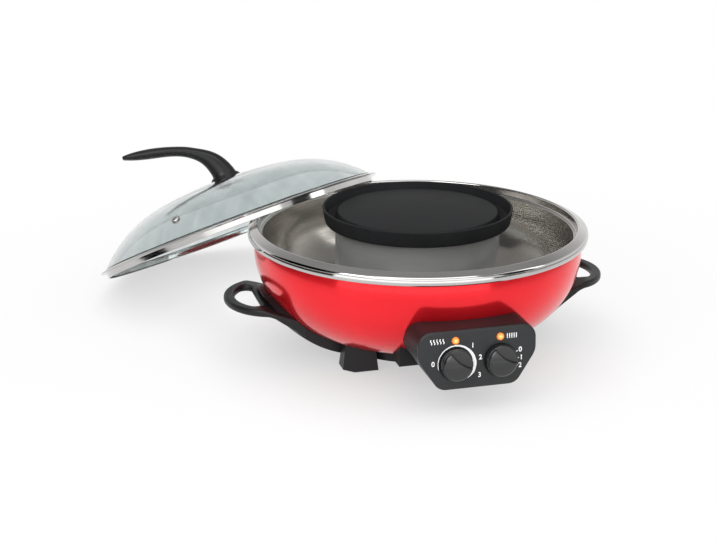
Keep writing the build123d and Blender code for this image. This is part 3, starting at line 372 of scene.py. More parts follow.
def noise(
    tree: Tree, vector: Socket, scale: Socket | float, flat: bool = False, **inputs: float
) -> Socket:
    """Add a noise, solid or flat, and give its mask."""
    feeds = {"Vector": vector, "Scale": scale, **inputs}
    return add_node(tree, "TexNoise", feeds, noise_dimensions="2D" if flat else "3D").outputs["Fac"]


def map_range(tree: Tree, value: Socket, start: Point, end: Point, kind: str = "LINEAR") -> Socket:
    """Map one range of a value to another.

    Args:
        tree: the node tree.
        value: the value.
        start: the range that is read.
        end: the range that comes out.
        kind: how it runs between the two.

    Returns:
        The mapped value.
    """
    limits = dict(zip(("From Min", "From Max", "To Min", "To Max"), (*start, *end)))
    node = add_node(tree, "MapRange", {"Value": value, **limits}, interpolation_type=kind)
    return node.outputs["Result"]


def ramp(tree: Tree, value: Socket, stops: Sequence[tuple[float, Colour]]) -> Socket:
    """Blend colours along a value.

    Args:
        tree: the node tree.
        value: the value.
        stops: the place of each colour, in order.

    Returns:
        The blended colour.
    """
    node = add_node(tree, "ValToRGB", {0: value})
    bands = node.color_ramp.elements
    for index, stop in ((0, stops[0]), (1, stops[-1])):
        bands[index].position, bands[index].color = stop
    for place, colour in stops[1:-1]:
        bands.new(place).color = colour
    return node.outputs[0]


def shade(tree: Tree, mask: Socket, dark: Colour, light: Colour) -> Socket:
    """Blend two colours by a mask."""
    return ramp(tree, mask, list(zip(MASK_SPAN, (dark, light))))


def spread(tree: Tree, mask: Socket, span: Point) -> Socket:
    """Map a mask to a span of values."""
    return map_range(tree, mask, MASK_SPAN, span)


def relief(tree: Tree, height: Socket, strength: float, depth: float) -> Socket:
    """Turn a height mask into a normal."""
    return add_node(tree, "Bump", {"Height": height, "Strength": strength, "Distance": depth}).outputs[0]


def new_material(name: str) -> tuple[Material, Tree, Node]:
    """Give a new material with its nodes and its shader.

    Args:
        name: the material's name.

    Returns:
        The material, its nodes and its shader.
    """
    material = bpy.data.materials.new(name)
    material.use_nodes = True
    return material, material.node_tree, material.node_tree.nodes["Principled BSDF"]


# Shared effects --------


@dataclass(frozen=True)
class Effect:
    """A node group that several finishes share; `draw` gives its masks from its tree and entry node."""

    name: str
    inputs: dict[str, float]
    outputs: tuple[str, ...]
    draw: Callable[[Tree, Node], tuple[Socket, ...]]

    def group(self) -> Tree:
        """Give the group, building it the first time.

        Returns:
            The group.
        """
        tree = bpy.data.node_groups.get(self.name)
        if tree is None:
            tree = bpy.data.node_groups.new(self.name, "ShaderNodeTree")
            for label, value in self.inputs.items():
                socket = tree.interface.new_socket(label, in_out="INPUT", socket_type="NodeSocketFloat")
                socket.default_value = value
            for label in self.outputs:
                tree.interface.new_socket(label, in_out="OUTPUT", socket_type="NodeSocketFloat")
            masks = self.draw(tree, tree.nodes.new("NodeGroupInput"))
            feed(tree, tree.nodes.new("NodeGroupOutput"), dict(zip(self.outputs, masks)))
        return tree

    def masks(self, tree: Tree, **values: float) -> dict[str, Socket]:
        """Place the group in a material with the material's own values, and give its masks.

        Args:
            tree: the material's nodes.
            values: the group's inputs, with underscores for the spaces in their names.

        Returns:
            Each mask by its name.
        """
        inputs = {label.replace("_", " "): value for label, value in values.items()}
        node = add_node(tree, "Group", inputs, node_tree=self.group())
        return {label: node.outputs[label] for label in self.outputs}


def draw_turning_lines(tree: Tree, entry: Node) -> tuple[Socket, ...]:
    """Draw the fine rings that spinning leaves about a piece's axis, and a slow bloom.

    Args:
        tree: the group's nodes.
        entry: its entry node, with the group's inputs.

    Returns:
        Both masks.
    """
    place = add_node(tree, "TexCoord").outputs["Object"]
    split = add_node(tree, "SeparateXYZ", {0: place})
    flat = add_node(tree, "CombineXYZ", {"X": split.outputs["X"], "Y": split.outputs["Y"]})
    radius = add_node(tree, "VectorMath", {0: flat.outputs[0]}, operation="LENGTH")
    section = add_node(tree, "CombineXYZ", {"X": radius.outputs["Value"], "Y": split.outputs["Z"]})
    rings = noise(tree, section.outputs[0], entry.outputs["Lines"], flat=True, Detail=3.0)
    cloud = noise(tree, place, 9.0, Detail=4.0)
    return rings, combine(tree, "MULTIPLY", cloud, entry.outputs["Waver"])


def draw_grain(tree: Tree, entry: Node) -> tuple[Socket, ...]:
    """Draw a fine even grain and a slow cloudiness, for moulded, cast and coated surfaces.

    Args:
        tree: the group's nodes.
        entry: its entry node, with the group's inputs.

    Returns:
        Both masks.
    """
    place = add_node(tree, "TexCoord").outputs["Object"]
    grain = noise(tree, place, entry.outputs["Grain Size"], Detail=2.0)
    return grain, noise(tree, place, entry.outputs["Cloud Size"], Detail=5.0, Roughness=0.6)


def draw_streaks(tree: Tree, entry: Node) -> tuple[Socket, ...]:
    """Draw long soft streaks that lean a little, as wiping leaves on glass and steel.

    Args:
        tree: the group's nodes.
        entry: its entry node, with the group's inputs.

    Returns:
        The one mask.
    """
    place = add_node(tree, "TexCoord").outputs["Object"]
    split = add_node(tree, "SeparateXYZ", {0: place})
    lean = combine(tree, "MULTIPLY_ADD", split.outputs["X"], STREAK_LEAN, split.outputs["Y"])
    across = combine(tree, "MULTIPLY", lean, entry.outputs["Across"])
    along = combine(tree, "MULTIPLY", split.outputs["X"], entry.outputs["Along"])
    joined = add_node(tree, "CombineXYZ", {"X": across, "Y": along})
    return (noise(tree, joined.outputs[0], 1.0, flat=True, Detail=3.0, Distortion=0.15),)


TURNING_LINES = Effect(
    "turning_lines", {"Lines": 900.0, "Waver": 0.5}, ("Lines", "Bloom"), draw_turning_lines
)
GRAIN = Effect("grain", {"Grain Size": 2500.0, "Cloud Size": 14.0}, ("Grain", "Cloud"), draw_grain)
STREAKS = Effect("streaks", {"Across": 46.0, "Along": 1.2}, ("Streaks",), draw_streaks)


# Finishes --------


class Finish:
    """A finish that makes its material when a piece first asks for it."""

    _made: dict[str, Material] = {}
    name: str
    slot: str = ""

    @property
    def record_slot(self) -> str:
        """Give the record's slot for it, which has the finish's name unless it says another."""
        return self.slot or self.name

    def material(self) -> Material:
        """Give the finish's material, building it the first time.

        Returns:
            The material.
        """
        if self.name not in Finish._made:
            material, tree, shader = new_material(self.name)
            feed(tree, shader, self.inputs(tree))
            Finish._made[self.name] = material
        return Finish._made[self.name]

    def inputs(self, tree: Tree) -> Feed:
        """Draw what feeds the shader; each finish has its own."""
        raise NotImplementedError

    def surface(self, tree: Tree, colour: Socket, gloss: Socket, height: Socket) -> Feed:
        """Draw the finish's colour, gloss and relief, each from its mask.

        Args:
            tree: the material's nodes.
            colour: the mask of its colour.
            gloss: that of its gloss.
            height: that of its relief.

        Returns:
            A socket or a value for each input of the shader.
        """
        return {
            "Base Color": shade(tree, colour, self.dark, self.light),
            "Roughness": spread(tree, gloss, self.gloss),
            "Normal": relief(tree, height, self.strength, self.depth),
        }


@dataclass(frozen=True)
class PolishedSteel(Finish):
    """Stainless steel with faint rings from spinning and streaks from wiping."""

    name: str = "polished_steel"
    dark: Colour = rgb(0.44, 0.43, 0.42)
    light: Colour = rgb(0.60, 0.59, 0.58)
    gloss: Point = (0.06, 0.14)
    lines: float = 700.0
    strength: float = 0.15
    metal: float = 1.0
    depth: float = 0.00002
    wiping: float = 0.5
    slot: str = "polished_steel"

    def inputs(self, tree: Tree) -> Feed:
        """Draw a metal whose gloss wavers along the rings.

        Args:
            tree: the material's nodes.

        Returns:
            A socket or a value for each input of the shader.
        """
        rings = TURNING_LINES.masks(tree, Lines=self.lines)
        wiped = STREAKS.masks(tree, Across=14.0, Along=3.0)
        mask = combine(tree, "MULTIPLY_ADD", wiped["Streaks"], self.wiping, rings["Bloom"])
        return {"Metallic": self.metal, **self.surface(tree, mask, rings["Lines"], rings["Lines"])}


@dataclass(frozen=True)
class Lacquer(Finish):
    """Translucent red lacquer over bright metal, which mirrors what stands round it in red."""

    name: str = "red_lacquer"
    dark: Colour = rgb(0.80, 0.012, 0.020)
    light: Colour = rgb(0.90, 0.018, 0.028)
    metal: float = 0.62
    gloss: Point = (0.14, 0.22)
    coat: float = 0.2
    strength: float = 0.06
    depth: float = 0.0001

    def inputs(self, tree: Tree) -> Feed:
        """Draw a coloured metal under a clear coat with a trace of orange peel.

        Args:
            tree: the material's nodes.

        Returns:
            A socket or a value for each input of the shader.
        """
        grain = GRAIN.masks(tree, Grain_Size=420.0, Cloud_Size=6.0)
        return {
            **self.surface(tree, grain["Cloud"], grain["Cloud"], grain["Grain"]),
            "Metallic": self.metal,
            "Specular IOR Level": 0.3,
            "Coat Weight": self.coat,
            "Coat Roughness": 0.06,
        }


@dataclass(frozen=True)
class Moulded(Finish):
    """Moulded plastic, rubber or a coating: one colour with grain."""

    name: str
    dark: Colour
    light: Colour
    gloss: Point
    grain_size: float = 2200.0
    depth: float = 0.00005
    strength: float = 0.3
    specular: float = 0.3
    slot: str = ""

    def inputs(self, tree: Tree) -> Feed:
        """Draw a grained surface with slightly uneven gloss.

        Args:
            tree: the material's nodes.

        Returns:
            A socket or a value for each input of the shader.
        """
        grain = GRAIN.masks(tree, Grain_Size=self.grain_size, Cloud_Size=18.0)
        surface = self.surface(tree, grain["Cloud"], grain["Cloud"], grain["Grain"])
        return {**surface, "Specular IOR Level": self.specular}


@dataclass(frozen=True)
class SheetMetal(Finish):
    """Plain rolled or plated metal for hidden pieces and screws."""

    name: str
    dark: Colour
    light: Colour
    gloss: Point
    strength: float = 0.2
    depth: float = 0.00003

    def inputs(self, tree: Tree) -> Feed:
        """Draw a clouded metal."""
        grain = GRAIN.masks(tree, Grain_Size=900.0, Cloud_Size=30.0)
        return {"Metallic": 1.0, **self.surface(tree, grain["Cloud"], grain["Grain"], grain["Grain"])}


@dataclass(frozen=True)
class TemperedGlass(Finish):
    """Tempered glass with a faint grey-green tint and wiping streaks."""

    name: str = "lid_glass"
    dark: Colour = rgb(0.63, 0.675, 0.675)
    light: Colour = rgb(0.73, 0.775, 0.77)
    gloss: Point = (0.04, 0.0)
    index: float = 1.45

    def inputs(self, tree: Tree) -> Feed:
        """Draw clear glass whose tint and gloss are slightly uneven.

        Args:
            tree: the material's nodes.

        Returns:
            A socket or a value for each input of the shader.
        """
        streaks = STREAKS.masks(tree)["Streaks"]
        return {
            "Base Color": shade(tree, streaks, self.dark, self.light),
            "Roughness": spread(tree, streaks, self.gloss),
            "Transmission Weight": 1.0,
            "IOR": self.index,
        }


@dataclass(frozen=True)
class AmberLens(Finish):
    """A lit amber lamp lens, brightest in its middle."""

    name: str
    centre: Triple
    fall: Point = (0.0026, 0.0054)
    stops: tuple[tuple[float, Colour], ...] = (
        (0.0, rgb(1.0, 0.52, 0.13)),
        (0.45, rgb(0.80, 0.20, 0.012)),
        (1.0, rgb(0.10, 0.014, 0.0)),
    )
    slot: str = "amber_lens"

    def inputs(self, tree: Tree) -> Feed:
        """Draw a glow that falls off from the lamp's axis.

        Args:
            tree: the material's nodes.

        Returns:
            A socket or a value for each input of the shader.
        """
        place = add_node(tree, "TexCoord").outputs["Object"]
        away = add_node(tree, "VectorMath", {0: place, 1: self.centre}, operation="DISTANCE")
        glow = ramp(tree, map_range(tree, away.outputs["Value"], self.fall, (0.0, 1.0)), self.stops)
        return {
            "Base Color": glow,
            "Emission Color": glow,
            "Emission Strength": 0.75,
            "Roughness": 0.18,
            "Coat Weight": 0.6,
        }


STEEL = PolishedSteel()
# A rougher, darker, browner copy of the polished steel for the trough: its darker colour is painted shade
# of the recess under the grill pan.
SHADED_TROUGH_STEEL = PolishedSteel(
    "shaded_trough_steel", rgb(0.29, 0.275, 0.25), rgb(0.46, 0.44, 0.405), (0.14, 0.26), 900.0, 0.2, 0.8
)
# A lighter, less metallic copy of the same steel for the chimney: a painted highlight that stands in for
# the bright reflections on it.
LIT_CHIMNEY_STEEL = PolishedSteel(
    "lit_chimney_steel", rgb(0.36, 0.365, 0.36), rgb(0.52, 0.53, 0.53), (0.16, 0.24), 900.0, 0.04, 0.58
)
LACQUER = Lacquer()
GLASS = TemperedGlass()
BLACK = Moulded("black_plastic", rgb(0.008, 0.008, 0.009), rgb(0.014, 0.014, 0.015), (0.36, 0.46))
PANEL = Moulded(
    "dark_plastic", rgb(0.014, 0.015, 0.016), rgb(0.02, 0.021, 0.0225), (0.3, 0.38), 2600.0, specular=0.36
)
HOUSING = Moulded(
    "housing",
    rgb(0.011, 0.011, 0.012),
    rgb(0.016, 0.016, 0.017),
    (0.4, 0.5),
    specular=0.2,
    slot="dark_plastic",
)
KNOB = Moulded(
    "knob_plastic", rgb(0.011, 0.0115, 0.0125), rgb(0.016, 0.0165, 0.018), (0.2, 0.28), specular=0.6
)
GRIP = Moulded("handle_plastic", rgb(0.009, 0.009, 0.01), rgb(0.016, 0.016, 0.018), (0.28, 0.38))
RUBBER = Moulded("rubber", rgb(0.018, 0.018, 0.018), rgb(0.03, 0.03, 0.03), (0.75, 0.9))
GASKET = Moulded("gasket", rgb(0.06, 0.06, 0.06), rgb(0.1, 0.1, 0.1), (0.7, 0.85))
CERAMIC = Moulded("ceramic_block", rgb(0.72, 0.7, 0.64), rgb(0.85, 0.83, 0.78), (0.6, 0.8))
PRINT = Moulded(
    "white_print",
    rgb(0.90, 0.90, 0.90),
    rgb(0.95, 0.95, 0.95),
    (0.5, 0.6),
    specular=0.2,
    slot="dark_plastic",
)
NONSTICK = Moulded(
    "nonstick",
    rgb(0.015, 0.0155, 0.016),
    rgb(0.023, 0.0235, 0.025),
    (0.4, 0.52),
    grain_size=1500.0,
    depth=0.0001,
    strength=0.4,
    specular=0.02,
)
ZINC = SheetMetal("zinc_steel", rgb(0.45, 0.45, 0.46), rgb(0.6, 0.6, 0.62), (0.3, 0.45))
HEATER = SheetMetal("heater_steel", rgb(0.16, 0.15, 0.14), rgb(0.3, 0.28, 0.26), (0.45, 0.6))
BRIGHT = SheetMetal("aluminium_sheet", rgb(0.72, 0.73, 0.74), rgb(0.84, 0.85, 0.86), (0.2, 0.35))

PACKED = {
    BLACK: ("base_tray", "left_handle", "right_handle"),
    RUBBER: ("foot_pads", "cord_gland"),
    HOUSING: ("control_housing",),
    PANEL: ("control_panel", "lamp_bodies", "pot_thermostat", "grill_thermostat"),
    HEATER: ("pot_heater", "grill_heater"),
    BRIGHT: ("pot_reflector", "grill_reflector"),
    CERAMIC: ("terminal_block",),
    GASKET: ("lid_gasket", "lid_washer"),
    STEEL: ("lid_vent",),
    GRIP: ("lid_handle_base", "lid_handle"),
    ZINC: (
        "base_screws",
        "housing_screws",
        "lid_screw",
        "control_nuts",
        "heater_tower",
        "pot_heater_brackets",
        "grill_heater_brackets",
        "pot_shaft",
        "grill_shaft",
    ),
}


def dress(piece: Piece, finish: Finish) -> None:
    """Give a piece one finish all over.

    Args:
        piece: the piece.
        finish: its finish.
    """
    piece.data.materials.clear()
    piece.data.materials.append(finish.material())


def stand_for(piece: Piece, body: Body, finish: Finish, *nodes: str) -> None:
    """Dress a piece, ride it on a body and let it stand for nodes.

    Args:
        piece: the new piece.
        body: the body it moves with.
        finish: its finish.
        nodes: the nodes it replaces.
    """
    dress(piece, finish)
    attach(piece, body.value)
    if nodes:
        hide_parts(*nodes)
    LOG.info("%s on %s, %d faces", piece.name, body.value, len(piece.data.polygons))


# Sub-assemblies, in millimetres and degrees --------


@dataclass
class Bowl:
    """The lacquered bowl that holds everything else."""

    radius: float = 193.0
    floor: float = 22.0
    flat: float = 88.0
    shoulder: float = 120.0
    sheet: float = 1.5
    top: float = 136.8
    lip_round: float = 2.4
    lip_width: float = 8.0
    hole: float = 14.0
    flank_steps: int = 64
    steps: int = 256

    def section(self, depth: float) -> list[Point]:
        """Draw one face of the bowl, from the hole in its floor up to the end of its lip.

        Args:
            depth: how far inside the outer face it lies, in millimetres.

        Returns:
            Its (radius, height) points in millimetres.
        """
        floor = self.floor + depth
        across = self.radius - self.flat - depth
        middle = (self.flat, self.shoulder)
        flank = ellipse_arc(middle, across, self.shoulder - floor, 270, 360, self.flank_steps)
        top = self.top - depth
        corners = [flank[-1], (self.radius - depth, top), (self.radius - self.lip_width, top)]
        lip = rounded(corners, [self.lip_round - depth])
        return [(self.hole, floor), *flank, *lip[1:]]

    def build(self) -> None:
        """Build and dress the bowl."""
        outside = self.section(0.0)
        inside = self.section(self.sheet)
        shell = turned("bowl_shell", outside + inside[::-1], steps=self.steps, closed=True)
        stand_for(shell, Body.BASE, LACQUER, "outer_shell")


@dataclass
class HandleScrews:
    """The screws that hold the side handles from inside the bowl; their shanks end in its wall."""

    seat: float = 176.44
    spread: float = 22.0
    height: float = 78.0
    head: float = 3.6
    head_height: float = 2.4
    head_round: float = 1.1
    drive: float = 1.5
    drive_depth: float = 1.1
    shank: float = 1.75
    length: float = 4.0
    steps: int = 48

    def section(self) -> list[Point]:
        """Draw the half section of a screw, from its drive recess to the end of its shank.

        Returns:
            Its (radius, height) points in millimetres.
        """
        floor = self.head_height - self.drive_depth
        corners = [(self.drive, self.head_height), (self.head, self.head_height), (self.head, 0)]
        head = rounded(corners, [self.head_round])
        shank = [(self.shank, 0), (self.shank, -self.length), (0, -self.length)]
        return [(0, floor), (self.drive, floor), *head, *shank]

    def build(self) -> None:
        """Build and dress the four screws."""
        for index, (outward, side) in enumerate(((-1, -1), (-1, 1), (1, -1), (1, 1))):
            spot = Vector((outward * self.seat, side * self.spread, self.height)) * MM
            place = Matrix.Translation(spot) @ Matrix.Rotation(-outward * math.pi / 2, 4, "Y")
            screw = turned(f"handle_screw_{index}", self.section(), place, self.steps)
            stand_for(screw, Body.BASE, ZINC, "handle_screws")


@dataclass
class Pot:
    """The lift-out steel ring pot with its rolled rim and its chimney."""

    rim_radius: float = 200.0
    rim_height: float = 148.0
    slope: float = 21.0
    nose_round: float = 4.0
    apron: float = 13.6
    roll: float = 4.4
    roll_round: float = 3.0
    mouth: float = 187.0
    mouth_round: float = 2.0
    ledge_depth: float = 9.7
    ledge_width: float = 4.5
    ledge_round: float = 1.5
    sheet: float = 1.2
    shoulder: float = 118.0
    floor: float = 52.0
    flat: float = 116.0
    chimney: float = 97.0
    foot_round: float = 6.0
    seat: float = 148.4
    seat_width: float = 9.0
    margin: float = 1.0
    flank_steps: int = 48
    round_steps: int = 8

    def section(self, depth: float) -> list[Point]:
        """Draw one face of the pot, from the end of its rolled rim to the pan's seat.

        Args:
            depth: how far inside the outer face it lies, in millimetres.

        Returns:
            Its (radius, height) points in millimetres.
        """
        slope = math.radians(self.slope)
        fall = depth / math.cos(slope)
        peak = self.rim_height + self.mouth_round * (1 / math.cos(slope) + math.tan(slope) - 1)
        foot = self.rim_height - self.apron + depth
        ledge = self.rim_height - self.ledge_depth - depth
        wall = self.mouth - self.ledge_width + depth
        nose = peak - fall - math.tan(slope) * (self.rim_radius - depth - self.mouth)
        middle = (self.flat, self.shoulder)
        sag = self.shoulder - self.floor + depth
        flank = ellipse_arc(middle, wall - self.flat, sag, 360, 270, self.flank_steps)
        outer, mouth = self.rim_radius - depth, self.mouth + depth
        corners = [
            (self.rim_radius - self.roll, foot),
            (outer, foot),
            (outer, nose),
            (mouth, peak - fall - math.tan(slope) * depth),
            (mouth, ledge),
            (wall, ledge),
            flank[0],
        ]
        convex = [size - depth for size in (self.roll_round, self.nose_round, self.mouth_round)]
        rounds = [*convex, self.ledge_round + depth, self.ledge_round - depth]
        rim = rounded(corners, rounds, self.round_steps)
        side, seat, end = self.chimney - depth, self.seat - depth, self.chimney - self.seat_width
        corners = [flank[-1], (side, self.floor - depth), (side, seat), (end, seat)]
        rounds = [self.foot_round + depth, self.ledge_round - depth]
        return rim + flank[1:] + rounded(corners, rounds, self.round_steps)[1:]

    def build(self) -> None:
        """Build the pot; dress its rim, its trough in darker steel as painted shade, and its chimney in
        lighter steel as a painted highlight.
        """
        polished = self.section(0.0)
        hidden = self.section(self.sheet)
        pot = turned("ring_pot", polished + hidden[::-1], closed=True)
        stand_for(pot, Body.POT, STEEL, "inner_pot")
        for finish in (SHADED_TROUGH_STEEL, LIT_CHIMNEY_STEEL):
            pot.data.materials.append(finish.material())
        trough = (self.mouth - self.margin) * MM
        chimney = (self.chimney - self.sheet / 2) * MM
        outside = (self.chimney + self.margin) * MM
        foot = (self.floor + self.foot_round) * MM
        # Material slots: the trough's darker steel of painted shade, and the chimney's lighter steel of
        # painted highlight.
        shaded_trough, upright = 1, 2
        for face in pot.data.polygons:
            away = face.center.xy.length
            if chimney < away < trough:
                face.material_index = upright if away < outside and face.center.z > foot else shaded_trough


@dataclass
class Pan:
    """The cast grill pan with its domed plate and fat gutter."""

    radius: float = 112.0
    foot: float = 148.7
    height: float = 18.4
    taper: float = 3.0
    wall: float = 2.8
    plate: float = 4.5
    dome: float = 97.0
    rise: float = 9.0
    crown: float = 3.5
    draft: float = 3.0
    spigot: float = 86.7
    spigot_depth: float = 7.0
    spigot_wall: float = 3.0
    spigot_taper: float = 2.0
    rounds: tuple[float, ...] = (1.5, 1.5, 3.0, 1.0, 1.0, 3.0, 0.0, 0.8, 0.8, 2.0)  # one a corner
    crown_steps: int = 24
    round_steps: int = 7

    def section(self) -> list[Point]:
        """Draw the pan's section from the middle of its crown to the middle of its underside.

        Returns:
            Its (radius, height) points in millimetres.
        """
        gutter = self.foot + self.plate
        edge = gutter + self.rise
        reach = self.dome - self.draft
        bend = (reach**2 + self.crown**2) / (2 * self.crown)
        radii = [reach * step / self.crown_steps for step in range(self.crown_steps + 1)]
        crown = [(out, edge + self.crown - bend + math.sqrt(bend**2 - out**2)) for out in radii]
        foot = self.radius - self.taper
        top = self.foot + self.height
        bore = self.spigot - self.spigot_wall
        ceiling = edge - self.plate
        body = rounded(
            [
                crown[-2],
                crown[-1],
                (self.dome, gutter),
                (foot - self.wall, gutter),
                (self.radius - self.wall, top),
                (self.radius, top),
                (foot, self.foot),
                (self.spigot, self.foot),
                (self.spigot, self.foot - self.spigot_depth),
                (bore, self.foot - self.spigot_depth),
                (bore - self.spigot_taper, ceiling),
                (0, ceiling),
            ],
            self.rounds,
            self.round_steps,
        )
        return crown[:-1] + body[1:]

    def build(self) -> None:
        """Build and dress the pan."""
        pan = turned("grill_plate", self.section())
        stand_for(pan, Body.PAN, NONSTICK, "grill_pan")


@dataclass
class Lid:
    """The glass lid that leans with its low edge on the table and its skirt on the pot's rim."""

    tilt: float = 26.6
    azimuth: float = 126.3
    reach: float = 289.665
    height: float = 91.006
    radius: float = 191.2
    flange: float = 2.2
    leaf: float = 1.9
    skirt: float = 184.2
    skirt_depth: float = 9.2
    lip: float = 2.0
    sheet: float = 0.9
    glass: float = 183.1
    glass_foot: float = -7.4
    thickness: float = 4.0
    land: float = 2.5
    dome: float = 61.5
    crown: float = 520.0
    shoulder: float = 90.0
    screw_hole: float = 2.6
    crown_steps: int = 20
    shoulder_steps: int = 40
    ring_rounds: tuple[float, ...] = (0.2, 0.6, 0.4, 0.6, 0.4, 0.5, 0.2, 0.1)  # one a corner
    round_steps: int = 5

    @property
    def place(self) -> Matrix:
        """Give the lid's own frame: X downhill, Z along its axis.

        Returns:
            The frame as a matrix.
        """
        tilt, azimuth = math.radians(self.tilt), math.radians(self.azimuth)
        lean = Vector((math.cos(azimuth), math.sin(azimuth), 0))
        along = lean * math.cos(tilt) - Vector((0, 0, math.sin(tilt)))
        axis = lean * math.sin(tilt) + Vector((0, 0, math.cos(tilt)))
        centre = (lean * self.reach + Vector((0, 0, self.height))) * MM
        across = axis.cross(along)
        return Matrix.Translation(centre) @ Matrix((along, across, axis)).transposed().to_4x4()

    def dome_section(self, depth: float) -> list[Point]:
        """Draw one face of the dome, from its crown to its foot in the ring.

        Args:
            depth: how far inside the outer face it lies, in millimetres.

        Returns:
            Its (radius, height) points in millimetres.
        """
        turn = math.asin(self.shoulder / self.crown)
        normal = Vector((math.sin(turn), math.cos(turn)))
        joint = Vector((0, self.dome - self.crown)) + normal * self.crown
        land = Vector((self.glass, self.land))
        run = land - joint
        bend = -run.dot(run) / (2 * run.dot(normal))
        centre = joint - normal * bend
        last = math.atan2(land.x - centre.x, land.y - centre.y)
        summit = Vector((0, self.dome - self.crown))
        face = []
        for middle, radius, start, end, steps in (
            (summit, self.crown - depth, 0.0, turn, self.crown_steps),
            (centre, bend - depth, turn, last, self.shoulder_steps),
        ):
            for step in range(min(len(face), 1), steps + 1):
                spoke = start + (end - start) * step / steps
                face.append((middle.x + radius * math.sin(spoke), middle.y + radius * math.cos(spoke)))
        return face + [(self.glass - depth, self.glass_foot)]

    def build(self) -> None:
        """Build and dress the glass and its steel ring."""
        faces = [self.dome_section(depth) for depth in (0.0, self.thickness)]
        for face in faces:
            face[0] = (self.screw_hole, face[0][1])
        glass = turned("lid_dome", faces[0] + faces[1][::-1], self.place, closed=True)
        stand_for(glass, Body.LID, GLASS, "lid_glass")
        inner, edge, lip = self.skirt - self.sheet, self.radius - self.sheet, self.skirt - self.lip
        low, shelf = -self.skirt_depth, self.sheet - self.skirt_depth
        corners = [
            (inner, shelf),
            (inner, self.leaf),
            (edge, 0),
            (self.radius, -self.sheet),
            (edge, -self.flange),
            (self.skirt, -self.flange),
            (self.skirt, low),
            (lip, low),
            (lip, shelf),
            (inner, shelf),
        ]
        ring = rounded(corners, self.ring_rounds, self.round_steps)
        rim = turned("lid_ring", ring[:-1], self.place, closed=True)
        stand_for(rim, Body.LID, STEEL, "lid_rim")


@dataclass
class Dials:
    """The printed marks of the control panel, and black rings in its recesses that paint the shade in the
    gap round each knob.
    """

    recess: float = 1.4
    ring_radii: Point = (8.0, 18.55)
    ring_heights: Point = (0.02, 0.2)
    ring_steps: int = 96
    numeral_size: float = 7.6
    arc_radius: float = 19.3
    arc_pitch: float = 4.0
    arc_widths: tuple[Point, ...] = (
        (194, 0.6),
        (150, 0.9),
        (95, 1.4),
        (45, 2.4),
        (0, 4.0),
        (-25, 4.0),
        (-52, 2.0),
    )
    numerals: tuple[tuple[str, Point], ...] = (
        ("0", (-50.0, -2.2)),
        ("1", (-5.8, 14.6)),
        ("2", (2.7, 0.8)),
        ("3", (1.6, -18.6)),
        ("0", (47.6, 5.0)),
        ("1", (48.8, -3.8)),
        ("2", (47.4, -12.4)),
    )
    tick_turns: tuple[float, ...] = (22.0, 0.0, -22.0)
    tick_radii: Point = (19.4, 21.2)
    stroke: float = 1.0
    symbol_height: float = 5.6
    symbol_strokes: tuple[int, ...] = (-2, -1, 0, 1, 2)
    symbols: tuple[tuple[str, Point, float, float, int], ...] = (
        ("steam_mark", (-45.0, 22.0), 3.4, 0.7, 12),
        ("rack_mark", (38.0, 21.6), 2.55, 0.0, 8),
    )

    def arc(self) -> Piece:
        """Draw the arc round the pot's knob, which widens as the heat rises.

        Returns:
            The arc.
        """
        across, high = KNOB_SPOTS[0]
        points = []
        widths = []
        for (start, thin), (end, thick) in zip(self.arc_widths, self.arc_widths[1:]):
            steps = max(2, round(abs(end - start) / self.arc_pitch))
            for step in range(steps + (end == self.arc_widths[-1][0])):
                turn = math.radians(start + (end - start) * step / steps)
                width = thin + (thick - thin) * step / steps
                radius = self.arc_radius + width / 2
                points.append((across + radius * math.cos(turn), high + radius * math.sin(turn)))
                widths.append(width)
        return ribbon("heat_arc", [(points, widths)])

    def ticks(self) -> Piece:
        """Draw the short ticks beside the grill's knob.

        Returns:
            The ticks.
        """
        centre = Vector(KNOB_SPOTS[1])
        lines = []
        for turn in self.tick_turns:
            spoke = Vector((math.cos(math.radians(turn)), math.sin(math.radians(turn))))
            ends = [tuple(centre + spoke * radius) for radius in self.tick_radii]
            lines.append((ends, [self.stroke, self.stroke]))
        return ribbon("grill_ticks", lines)

    def symbol(self, name: str, spot: Point, pitch: float, wave: float, steps: int) -> Piece:
        """Draw five upright strokes beside a lamp: waves of steam, or the bars of a grill rack.

        Args:
            name: the symbol's name.
            spot: its middle on the panel, in millimetres.
            pitch: the distance between two strokes.
            wave: how far they wave to the side.
            steps: segments of a stroke.

        Returns:
            The symbol.
        """
        lines = []
        for stroke in self.symbol_strokes:
            points = []
            for step in range(steps + 1):
                part = step / steps
                across = spot[0] + stroke * pitch + wave * math.sin(math.tau * part)
                points.append((across, spot[1] + self.symbol_height * (part - 0.5)))
            lines.append(capped(points, self.stroke))
        return ribbon(name, lines)

    def build(self) -> None:
        """Build and dress the marks and the black recess rings of painted shade."""
        marks = [self.arc(), self.ticks(), *(self.symbol(*symbol) for symbol in self.symbols)]
        for index, (text, spot) in enumerate(self.numerals):
            marks.append(numeral(f"numeral_{index}", text, spot, self.numeral_size))
        for mark in marks:
            stand_for(mark, Body.BASE, PRINT)
        # Black rings on the recess floors: painted shade that darkens the gap round each knob.
        (bush, edge), (low, high) = self.ring_radii, self.ring_heights
        section = [(bush, low), (edge, low), (edge, high), (bush, high)]
        for index, spot in enumerate(KNOB_SPOTS):
            seat = on_panel(spot, -self.recess)
            ring = turned(f"recess_shade_ring_{index}", section, seat, self.ring_steps, closed=True)
            stand_for(ring, Body.BASE, BLACK)


